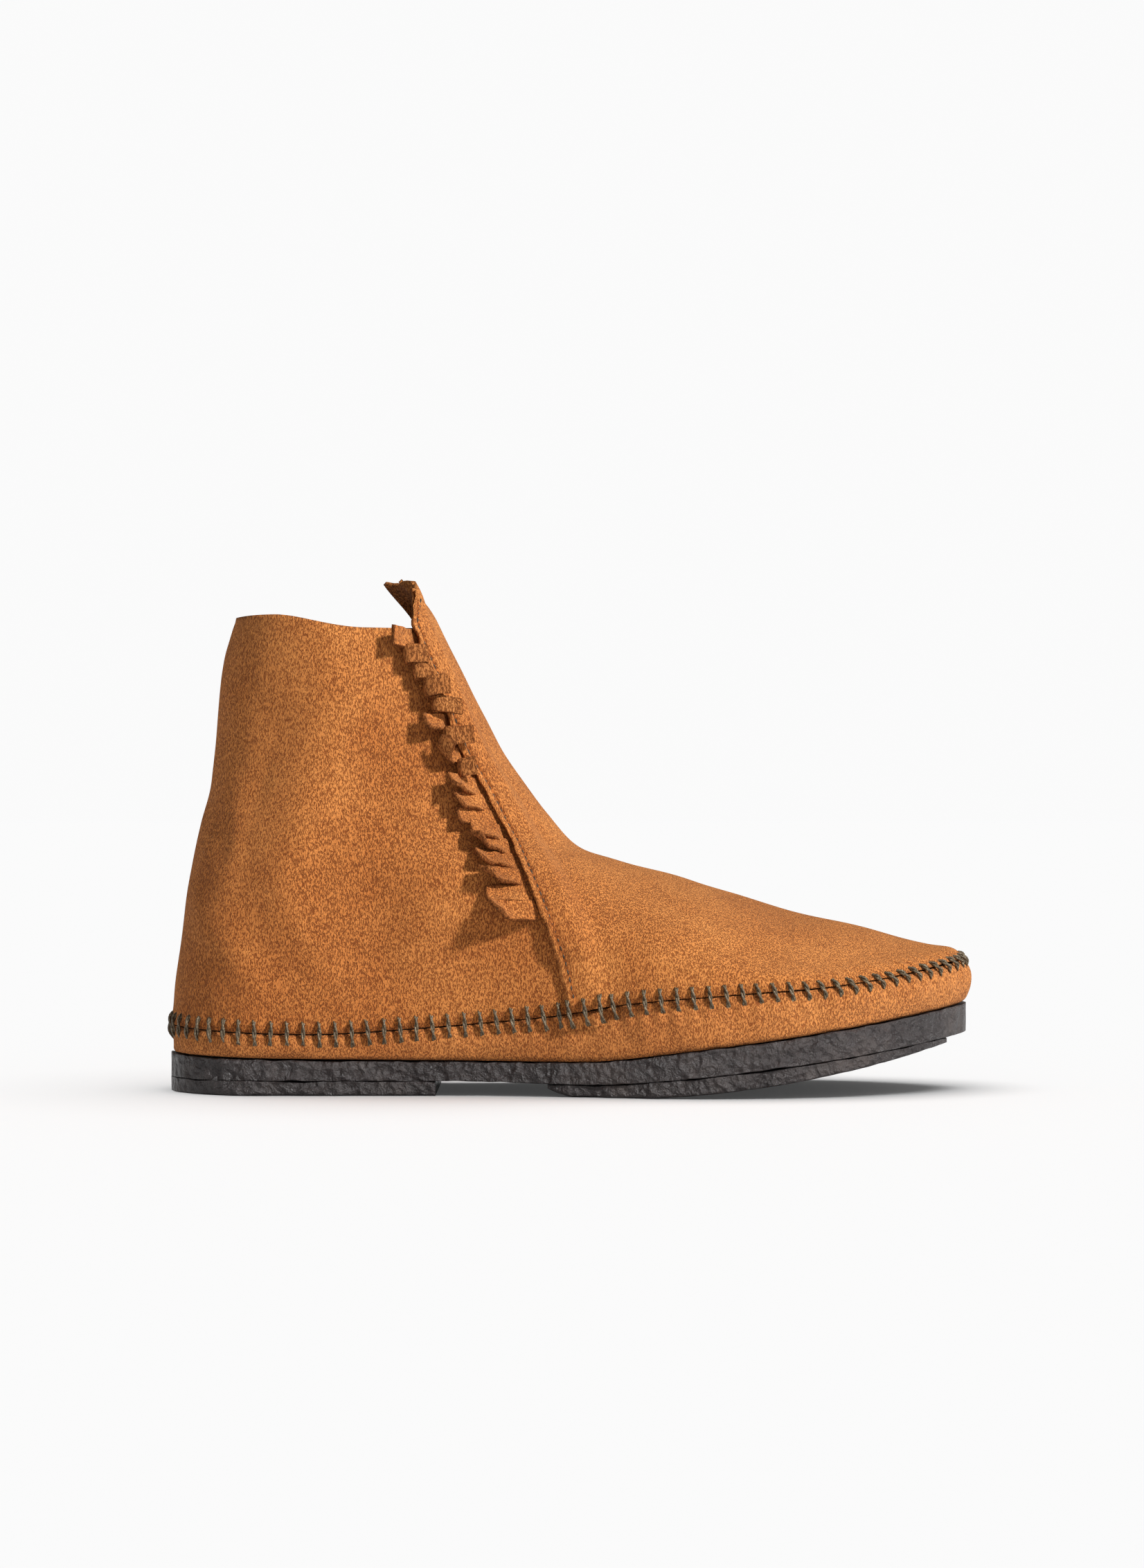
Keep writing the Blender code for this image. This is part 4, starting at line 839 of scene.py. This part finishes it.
def twisted_stitch(length, strand, lift, sink, turns=2.2, segments=11, sides=4):
    """Two strands twisted together in an arch across the seam, both ends sunk into the suede."""
    strands = []
    for phase in (0, math.pi):
        rings = []
        for i in range(segments + 1):
            t = i / segments
            arch = lift * math.sin(math.pi * t) ** 0.6 - sink * (abs(2 * t - 1) ** 4)
            twist = phase + turns * math.pi * t
            centre = np.array([strand * 0.85 * math.cos(twist), (t - 0.5) * length,
                               arch + strand * 0.85 * math.sin(twist)])
            ring = []
            for k in range(sides):
                turn = 2 * math.pi * (k + 0.5) / sides
                ring.append(centre + strand * np.array([math.cos(turn), 0, math.sin(turn)]))
            rings.append(ring)
        strands.append(shape_object(f"strand_{len(strands)}", rings))
    shell = bmesh.new()
    for strand_object in strands:
        shell.from_mesh(strand_object.data)
    shell.to_mesh(strands[0].data)
    shell.free()
    bpy.data.objects.remove(strands[1])
    return strands[0]


def waxed_thread(name, dark, light, pale):
    """Twisted waxed thread: fine diagonal plies, with pale flecks that are painted glints."""
    material, tree, surface = new_material(name)
    place = add_node(tree, "ShaderNodeTexCoord").outputs["Object"]
    plies = noise(tree, place, 1700, 4, Roughness=0.7)
    glints = noise(tree, place, 900, 2)
    # The pale stop of the ply colour paints glints on the thread.
    fill(tree, surface, Base_Color=colour_ramp(tree, plies, [(0.36, dark), (0.55, light), (0.70, pale)]),
         Normal=relief(tree, glints, 0.6, 0.0003), Roughness=0.55)
    return material


whip_thread = waxed_thread("whip_thread", (0.040, 0.026, 0.012), (0.135, 0.095, 0.050), (0.420, 0.340, 0.220))


def make_whip_stitches():
    angles = run_angles[::2]
    rim = suede_point(0.0, angles)
    out = way_out(suede_point, np.full_like(angles, 0.025), angles)
    # Across the seam the wrap stands upright and the upper leans in, so a stitch faces between them.
    level_out = unit(out * np.array([1, 1, 0]))
    toe = blended((share_at(rim[:, 0]) - 0.45) / 0.45)
    facing = unit(out + (1.2 - 0.6 * toe)[:, None] * level_out)
    over_lap = np.abs(angles + outer_seam(0.0) + 0.04) < 0.06
    path = rim + facing * (0.0002 - 0.0004 * toe + lap_offset(0.0, 0.0) * over_lap)[:, None]
    size = 1 - 0.32 * toe
    # Seen from outside, stitches lean back at the top: the two sides of the boot lean opposite ways.
    leans = np.where(angles < 0, 1, -1) * (0.04 + 0.52 * toe ** 3)
    shape = twisted_stitch(0.0095, 0.00044, 0.00078, 0.0012)
    pitch = run_distances[-1] / WHIP_STITCHES
    stitches("whip_stitches", path, facing, shape, pitch, whip_thread, "whip_thread", size=size, leans=leans,
             uneven=0.10, seed=4)
    bpy.data.objects.remove(shape)


make_whip_stitches()

# SIDE SEAM'S STITCHES. Fine thread sewn by machine through the front panel, the fringe and the
# quarter. The stitches are sunk in the suede, so little more than a dark dashed line shows.


def plain_stitch(length, radius, sides=5, segments=6):
    rings = []
    for i in range(segments + 1):
        t = i / segments
        bow = math.sin(math.pi * t)
        thick, sag = radius * (0.35 + 0.65 * bow ** 0.5), radius * 1.2 * (bow - 0.7)
        turns = [2 * math.pi * k / sides for k in range(sides)]
        rings.append([((t - 0.5) * length, thick * math.cos(turn), thick * math.sin(turn) + sag)
                      for turn in turns])
    return shape_object("plain_stitch", rings)


seam_thread = waxed_thread("seam_thread", (0.020, 0.014, 0.008), (0.060, 0.038, 0.020), (0.120, 0.080, 0.045))


def make_rim_stitches():
    level = np.linspace(0.02, 1.03, 240)
    edge = -outer_seam(level)
    angle = angle_past(level, edge, 0.0023)
    out = suede_normal(level, angle)
    path = suede_point(level, angle) + out * (lap_offset(level, 0.0023) - 0.00052)[:, None]
    shape = plain_stitch(0.0021, 0.00026)
    stitches("rim_stitches", path, out, shape, 0.0026, seam_thread, "rim_thread", uneven=0.05, seed=7)
    bpy.data.objects.remove(shape)


make_rim_stitches()

# FRINGE. A strip of suede with its uncut edge sewn into the side seam, slit into tabs. Worn tabs curl
# each their own way: some lie flat, some roll back over the rim, and some twist to show the flesh side.

FRINGE_TABS, FRINGE_PITCH, FRINGE_TOP, TAB_ROOT = 18, 0.0056, 0.955, 0.0006
BAND_HEIGHT = 0.0014


def fringe_roots():
    """Levels down the outer seam at the edges of the tabs."""
    levels = np.arange(FRINGE_TOP, 0.05, -0.0025)
    points = suede_point(levels, -outer_seam(levels))
    runs = np.concatenate([[0], np.cumsum(np.linalg.norm(np.diff(points, axis=0), axis=1))])
    return np.interp(np.arange(FRINGE_TABS + 1) * FRINGE_PITCH, runs, levels)


roots = fringe_roots()


def make_fringe_band():
    level = np.linspace(roots[-1], roots[0], 160)[:, None]
    angle = angle_past(level, -outer_seam(level), np.linspace(-0.0003, 0.0054, 14)[None, :])
    points = suede_point(level, angle) + BAND_HEIGHT * suede_normal(level, angle)
    suede_sheet("fringe_band_suede", points, np.full(points.shape[:2], -0.15), "fringe_band",
                thickness=0.0008)


make_fringe_band()


def tab_frame(top_level, foot_level):
    """The middle of a tab's root, the seam's direction there, and the tab's own down, back and out."""
    reach = top_level - foot_level
    level = np.array([top_level + reach, top_level, foot_level, foot_level - reach])
    angle = angle_past(level, -outer_seam(level), -TAB_ROOT)
    ends = suede_point(level, angle) + (1.5 * GAP + TAB_THICKNESS) * suede_normal(level, angle)
    seam = unit(ends[3] - ends[0])
    middle = (top_level + foot_level) / 2
    out = suede_normal(middle, angle_past(middle, -outer_seam(middle), -0.0105 / 2))
    back = np.array([-1, 0, -0.06])
    back = unit(back - (back @ out) * out)
    out = unit(np.cross(seam, back))
    out = out if out[1] < 0 else -out
    down = np.cross(back, out)
    down = down if down[2] < 0 else -down
    return (ends[1] + ends[2]) / 2, seam, down, back, out


# Each tab: length, width and lean away from the boot, then its bends and its twists, each from a place
# to a place along the tab and by how many degrees. Millimetres and degrees. A bend turns the end
# outwards and then forwards over the rim. A twist lifts the lower edge.
TABS = [
    (11.0, 6.0, 24, [], [(2, 10, -4)]),
    (13.5, 5.4, 14, [(5.0, 8.6, 158)], [(7, 13, -8)]),
    (10.8, 5.4, 16, [(4.4, 7.4, 150)], [(0, 8, 10)]),
    (13.0, 5.6, 26, [(3.2, 9.0, 138), (9.4, 13, 16)], [(4, 11, 10)]),
    (13.0, 4.9, 26, [(2.6, 6.2, 142)], [(2, 9, -26)]),
    (10.0, 5.1, 30, [(2.0, 5.0, -22), (7, 10.0, 34)], [(1, 8, 30)]),
    (13.0, 5.1, 24, [(2.6, 6.4, 150)], [(2, 8, 18)]),
    (12.5, 5.1, 16, [(4.0, 11.0, 92)], [(2, 10, 62)]),
    (10.0, 5.1, 22, [(3.4, 6.6, 132)], [(2, 8, 12)]),
    (13.0, 5.4, 14, [(3.0, 7.5, 24), (8.0, 12.5, -18)], [(0, 5, 18), (6, 12, 24)]),
    (13.0, 5.4, 9, [(7.0, 11.0, 30)], [(0, 5, 20), (7, 13, 16)]),
    (13.2, 5.4, 7, [(11.5, 13.2, 36)], [(0, 5, 16)]),
    (12.0, 5.4, 17, [(3.0, 8.0, -8)], [(0, 5, 16)]),
    (14.0, 5.4, 12, [(5.0, 10.0, 22)], [(0, 5, 18), (7, 13.5, 44)]),
    (13.5, 5.4, 9, [(7.0, 12.0, 22)], [(0, 5, 20), (8, 13.5, 18)]),
    (14.5, 5.4, 13, [(5.0, 10.0, 24)], [(0, 5, 18), (7, 14, 46)]),
    (13.5, 5.4, 7, [(11.5, 13.5, 30)], [(0, 5, 20)]),
    (15.5, 6.4, 15, [(6.0, 13.0, 44)], [(0, 5, 12), (7, 15, 42)]),
]


def curled_strip(root, seam, down, back, out, length, width, lean, bends, twists, seed, columns=24):
    """Rows of points over a strip that bends and twists along its length. Its root follows the seam."""
    steps = int(length / 0.24)
    along = np.linspace(-2.5, length, steps)
    bend, twist = np.radians(lean) + 0 * along, 0 * along
    for turned, total in ((bends, bend), (twists, twist)):
        for start, end, degrees in turned:
            total += np.radians(degrees) * blended((along - start) / (end - start))
    sideways = np.linspace(-0.5, 0.5, columns) * (width / 1000)
    forward, across = back * np.cos(bend[0]) + out * np.sin(bend[0]), down.copy()
    face = out * np.cos(bend[0]) - back * np.sin(bend[0])
    place = root + forward * along[0] / 1000
    rows, lifts = [], []
    for i in range(steps):
        if i:
            place = place + forward * (along[i] - along[i - 1]) / 1000
            turn, roll = bend[i] - bend[i - 1], twist[i] - twist[i - 1]
            forward, face = (forward * math.cos(turn) + face * math.sin(turn),
                             face * math.cos(turn) - forward * math.sin(turn))
            across, face = (across * math.cos(roll) + face * math.sin(roll),
                            face * math.cos(roll) - across * math.sin(roll))
        # Suede dries with its edges drawn up a little.
        cup = 0.00035 * blended(along[i] / 6) * ((2 * np.linspace(-0.5, 0.5, columns)) ** 2)
        row = place + sideways[:, None] * across + cup[:, None] * face
        height = (row - root) @ out + 1.5 * GAP + TAB_THICKNESS
        lifts.append(max(0.0, float(np.max(0.0004 + SUEDE * max(0.0, face @ out) - height))))
        rows.append(row)
    lifts = np.maximum.accumulate(np.array(lifts)) * blended(along / 3)
    rows = np.array(rows) + lifts[:, None, None] * out
    # Each line along the strip starts where it meets the seam.
    starts = -0.25 + sideways * 1000 * float(seam @ back) / float(seam @ down)
    points = np.empty_like(rows)
    for c in range(columns):
        at = np.linspace(starts[c], length, steps)
        points[:, c] = np.stack([np.interp(at, along, rows[:, c, k]) for k in range(3)], axis=-1)
    share = np.linspace(0, 1, steps)[:, None]
    rim = np.maximum(np.abs(np.linspace(-1, 1, columns))[None, :] ** 12, blended((share - 0.93) / 0.07))
    points = points + (0.00016 * ripple(points, 0.0022, seed) * rim)[..., None] * unit(across + forward)
    return points + (0.00010 * ripple(points, 0.0035, seed + 50))[..., None] * out, rim


def make_fringe_tabs():
    for i, curl in enumerate(TABS):
        number = f"fringe_tab_{i + 1:02d}"
        points, rim = curled_strip(*tab_frame(roots[i], roots[i + 1]), *curl, 100 + i)
        # Painted shade: each tab's edges and tip are darkened like the shade in the gaps between tabs; the
        # ripple is random tone.
        worn = -0.02 - 0.22 * rim + 0.10 * ripple(points, 0.006, 200 + i)
        # The rows run back from the seam, and each runs down it.
        suede_sheet(number + "_suede", points[::-1], worn[::-1], number, thickness=0.0013, body=number)


make_fringe_tabs()

# FOOTBED. A die-cut pad of soft foam on the wrap's bottom, with a brushed cloth sock glued over it.

FOAM, SOCK = 0.0045, 0.0009


def woven_cloth(name, dark, light, scale, bump):
    """Plain weave: warp over weft, with slubs. The colour follows the weave's height: painted shade where
    threads dip, painted highlight where they rise.
    """
    material, tree, surface = new_material(name)
    place = add_node(tree, "ShaderNodeTexCoord").outputs["Object"]
    split = add_node(tree, "ShaderNodeSeparateXYZ", Vector=place)
    waves = [maths(tree, "SINE", maths(tree, "MULTIPLY", split.outputs[axis], scale)) for axis in "XY"]
    slubs = noise(tree, place, 600, 4, Roughness=0.65)
    height = maths(tree, "MULTIPLY_ADD", maths(tree, "MULTIPLY", *waves), 0.4, slubs)
    # Colour taken from the bump height: painted shade and highlight of the weave.
    fill(tree, surface, Base_Color=colour_ramp(tree, height, [(0.1, dark), (0.9, light)]),
         Normal=relief(tree, height, 0.7, bump), Roughness=0.9)
    return material


sock_cloth = woven_cloth("sock_cloth", (0.20, 0.14, 0.085), (0.42, 0.32, 0.21), 5200, 0.0002)


def foam_rubber():
    material, tree, surface = new_material("open_foam")
    place = add_node(tree, "ShaderNodeTexCoord").outputs["Object"]
    cells = add_node(tree, "ShaderNodeTexVoronoi", Vector=place, Scale=1400).outputs["Distance"]
    # The foam's colour follows its cell pits: darker in them, painted shade.
    colour = colour_ramp(tree, cells, [(0.05, (0.42, 0.36, 0.27)), (0.6, (0.78, 0.72, 0.60))])
    fill(tree, surface, Base_Color=colour, Normal=relief(tree, cells, 0.8, 0.0004), Roughness=0.95)
    return material


def footbed_layer(name, node, bottom, height, edge, crown, material, slot):
    """A closed layer that follows the sole, rounded at its edge and a little crowned."""
    stations, across = 260, 15
    inset = 0.0012 + SUEDE + 2 * GAP
    first, last = x_at(0) + inset, x_at(SOLE_TOE) - inset
    x = first + (last - first) * (1 - np.cos(np.pi * np.linspace(0.006, 0.994, stations))) / 2
    half, middle = sole_half(x, inset), SOLE_MIDDLE(share_at(x))
    rings = []
    turns = np.linspace(-1, 1, across)
    over = [(t, height - edge * np.abs(t) ** 14 + crown * (1 - t * t)) for t in turns]
    under = [(t, edge * np.abs(t) ** 14) for t in turns[::-1]]
    for t, lift in under + over:
        rings.append(np.stack([x, middle - half * t, bottom(x) + lift], axis=-1))
    mesh = grid_mesh(name, np.stack(rings, axis=1), around=True)
    close_ends(mesh)
    obj = piece(name, mesh, material)
    mesh.set_sharp_from_angle(angle=math.radians(50))
    return belongs(obj, "boot", slot, node)


foam_bottom = lambda x: sole_top(x) + SUEDE + 2 * GAP
foam = footbed_layer("foam_pad", "insole_foam", foam_bottom, FOAM, 0.0012, 0.0001, foam_rubber(), "foam")
footbed_layer("sock_cloth", "sock_liner", lambda x: foam_bottom(x) + FOAM + GAP, SOCK, 0.0003, 0.0001,
              sock_cloth, "sock")

# ZIP. Metal teeth on woven tapes, sewn under both panels on the inner side, with a suede patch over
# its lower end. The slider and its pull are stamped brass, aged brown.

ZIP_STITCH, GUARD_TOP, GUARD_HALF_WIDTH = 0.0072, 0.165, 0.0095
COIL_HALF_GAP, COIL_WIDTH, COIL_HEIGHT = 0.0006, 0.0013, 0.0013
TAPE_TOP = -SUEDE - 1.7 * GAP


def aged_brass():
    """Brass browned in some patches and rubbed bright in others, spread at random rather than by hollows and
    handling.
    """
    material, tree, surface = new_material("aged_brass")
    place = add_node(tree, "ShaderNodeTexCoord").outputs["Object"]
    stain = noise(tree, place, 420, 6, Roughness=0.65)
    scratch = noise(tree, place, 2200, 3, Distortion=1.5)
    colour = colour_ramp(tree, stain, [
        (0.34, (0.085, 0.055, 0.028)), (0.55, (0.300, 0.215, 0.110)), (0.72, (0.520, 0.400, 0.230)),
    ])
    fill(tree, surface, Base_Color=colour, Roughness=spread(tree, stain, 0.35, 0.7, i3=0.55, i4=0.26),
         Normal=relief(tree, scratch, 0.25, 0.0001), Metallic=1.0)
    return material


brass = aged_brass()
tape_cloth = woven_cloth("tape_cloth", (0.045, 0.022, 0.010), (0.130, 0.070, 0.034), 9000, 0.00015)


def softened(node, name, width, material, body):
    """A copy of a stamped or cut piece with its edges eased."""
    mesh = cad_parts[node].data.copy()
    shell = bmesh.new()
    shell.from_mesh(mesh)
    bmesh.ops.remove_doubles(shell, verts=shell.verts, dist=1e-6)
    bmesh.ops.dissolve_limit(shell, angle_limit=math.radians(1), verts=shell.verts, edges=shell.edges)
    shell.to_mesh(mesh)
    shell.free()
    mesh.materials.clear()
    obj = piece(name, mesh, material)
    ease = obj.modifiers.new("eased", "BEVEL")
    ease.width, ease.segments, ease.limit_method = width, 3, "ANGLE"
    mesh.set_sharp_from_angle(angle=math.radians(35))
    belongs(obj, body, "metal", node)


softened("zip_slider", "slider_brass", 0.00020, brass, "zip_slider")
softened("zip_pull", "pull_brass", 0.00022, brass, "zip_pull")
for stop in ("zip_top_stop_front", "zip_top_stop_rear", "zip_bottom_stop"):
    softened(stop, stop + "_brass", 0.00015, brass, "boot")


def make_tapes():
    for name, side in (("zip_tape_front", 1), ("zip_tape_rear", -1)):
        level = np.linspace(0.075, ZIP_HEAD - 0.004, 220)[:, None]
        distance = side * np.linspace(COIL_HALF_GAP, 0.0120, 26)[None, :]
        angle = angle_past(level, inner_seam(level), distance)
        points = suede_point(level, angle) + TAPE_TOP * suede_normal(level, angle)
        mesh = grid_mesh(name + "_cloth", points[:, ::-side])
        obj = piece(name + "_cloth", mesh, tape_cloth)
        thick = obj.modifiers.new("thickness", "SOLIDIFY")
        thick.thickness, thick.offset = 0.0005, -1
        belongs(obj, "boot", "tape", name)


make_tapes()


def tooth_shape():
    """One tooth: a block crimped on the tape's bead, with a rounded nose towards the other row."""
    profile = [(-0.00062, 0.00030), (-0.00045, 0.00062), (0.00030, 0.00064), (0.00072, 0.00040),
               (0.00078, 0.00012)]
    rings = []
    for y, high in profile:
        wide = 0.00042 if y < 0.0004 else 0.00030
        rings.append([(wide, y, -high), (wide, y, high), (-wide, y, high), (-wide, y, -high)])
    return shape_object("tooth", rings)


def make_teeth():
    foot, head = (suede_point(level, inner_seam(level)) for level in (ZIP_FOOT, ZIP_HEAD))
    down = unit(foot - head)
    across = np.cross(zip_out, down)
    across = across if across[0] > 0 else -across
    run = np.linalg.norm(foot - head)
    for name, side in (("zip_teeth_front", 1), ("zip_teeth_rear", -1)):
        start = 0.0026 + (0.0009 if side > 0 else 0.0)
        base = side * (COIL_HALF_GAP + COIL_WIDTH / 2) * across + (TAPE_TOP + GAP + COIL_HEIGHT / 2) * zip_out
        # Walked down on the front row and up on the rear one, so that every nose points inwards.
        path = np.array([head + down * place + base for place in np.linspace(start, run - 0.0026, 40)])
        shape = tooth_shape()
        towards = side * np.cross(zip_out, down) @ across
        stitches(name + "_metal", path if towards < 0 else path[::-1], zip_out, shape, 0.0018, brass, name,
                 slot="metal")
        bpy.data.objects.remove(shape)


make_teeth()


def make_zip_stitches():
    for name, distance in (("zip_thread_front", ZIP_STITCH), ("zip_thread_rear", -ZIP_STITCH)):
        level = np.linspace(0.20, 0.955, 200)
        angle = angle_past(level, inner_seam(level), distance)
        out = suede_normal(level, angle)
        shape = plain_stitch(0.0022, 0.00030)
        path = suede_point(level, angle) + out * 0.00005
        stitches(name + "_stitches", path, out, shape, 0.0027, seam_thread, name, uneven=0.05, seed=9)
        bpy.data.objects.remove(shape)


make_zip_stitches()


def make_guard():
    level = np.linspace(0.004, GUARD_TOP, 70)[:, None]
    across = np.linspace(-1, 1, 60)[None, :]
    rounded = np.sqrt(np.clip(1 - np.clip((level - GUARD_TOP + 0.035) / 0.036, 0, 1) ** 2, 0.05, 1))
    angle = angle_past(level, inner_seam(level), GUARD_HALF_WIDTH * across * (0.74 + 0.26 * rounded))
    # Its foot goes down under the whipped stitches.
    lift = (1.5 * GAP + SUEDE) * (0.08 + 0.92 * blended((level - 0.012) / 0.026))
    lift = lift + 0.0001 * ripple(suede_point(level, angle), 0.006, 71)
    points = suede_point(level, angle) + lift[..., None] * suede_normal(level, angle)
    by_top = blended((level - GUARD_TOP + 0.01) / 0.01)
    worn = -0.2 * np.maximum(np.abs(across) ** 10 + 0 * level, by_top + 0 * across)
    suede_sheet("guard_suede", points[:, ::-1], worn, "zip_guard")


make_guard()

# STAGE. A plain pale floor, a pale room, and one main light high on the right with soft fill.

floor_material, floor_tree, floor_surface = new_material("floor_paper")
fill(floor_tree, floor_surface, Base_Color=(0.80, 0.80, 0.80, 1), Roughness=1.0, Specular_IOR_Level=0,
     Emission_Color=(1, 1, 1, 1))
floor_seen = add_node(floor_tree, "ShaderNodeLightPath").outputs["Is Camera Ray"]
fill(floor_tree, floor_surface, Emission_Strength=spread(floor_tree, floor_seen, 0, 1, i3=0.0, i4=0.05))
floor_mesh = bpy.data.meshes.new("floor")
floor_mesh.from_pydata([(-6, -3, 0), (6, -3, 0), (6, 9, 0), (-6, 9, 0)], [], [(0, 1, 2, 3)])
floor = bpy.data.objects.new("floor", floor_mesh)
scene.collection.objects.link(floor)
floor_mesh.materials.append(floor_material)

world = bpy.data.worlds.new("pale_room")
scene.world = world
world.use_nodes = True
room = world.node_tree
room_seen = add_node(room, "ShaderNodeLightPath").outputs["Is Camera Ray"]
fill(room, room.nodes["Background"], Color=(1, 1, 1, 1),
     Strength=spread(room, room_seen, 0, 1, i3=0.26, i4=0.96))


def link_to_floor(light, state):
    """Makes a light fall on the floor alone, INCLUDE, or on everything but the floor, EXCLUDE."""
    lit = bpy.data.collections.new(light.name + "_lights")
    lit.objects.link(floor)
    lit.collection_objects[0].light_linking.link_state = state
    light.light_linking.receiver_collection = lit


def soft_light(name, towards, distance, size, power):
    """A round soft light on the boot, kept off the floor."""
    light = bpy.data.lights.new(name, "AREA")
    light.shape, light.size, light.energy = "DISK", size, power
    obj = bpy.data.objects.new(name, light)
    scene.collection.objects.link(obj)
    way = Vector(towards).normalized()
    obj.location = Vector((0, 0, 0.08)) + way * distance
    obj.rotation_euler = way.to_track_quat("Z", "Y").to_euler()
    link_to_floor(obj, "EXCLUDE")


soft_light("key_light", (0.66, -0.56, 0.56), 2.2, 0.28, 62)
soft_light("left_fill", (-0.8, -0.7, 0.3), 2.0, 1.4, 0.6)

# A broad even light for the floor alone keeps it plain to the far edge, with a soft shadow by the sole.
floor_light = bpy.data.objects.new("floor_light", bpy.data.lights.new("floor_light", "SUN"))
scene.collection.objects.link(floor_light)
floor_light.data.energy, floor_light.data.angle = 2.77, math.radians(70)
link_to_floor(floor_light, "INCLUDE")

scene.view_settings.view_transform = "Standard"
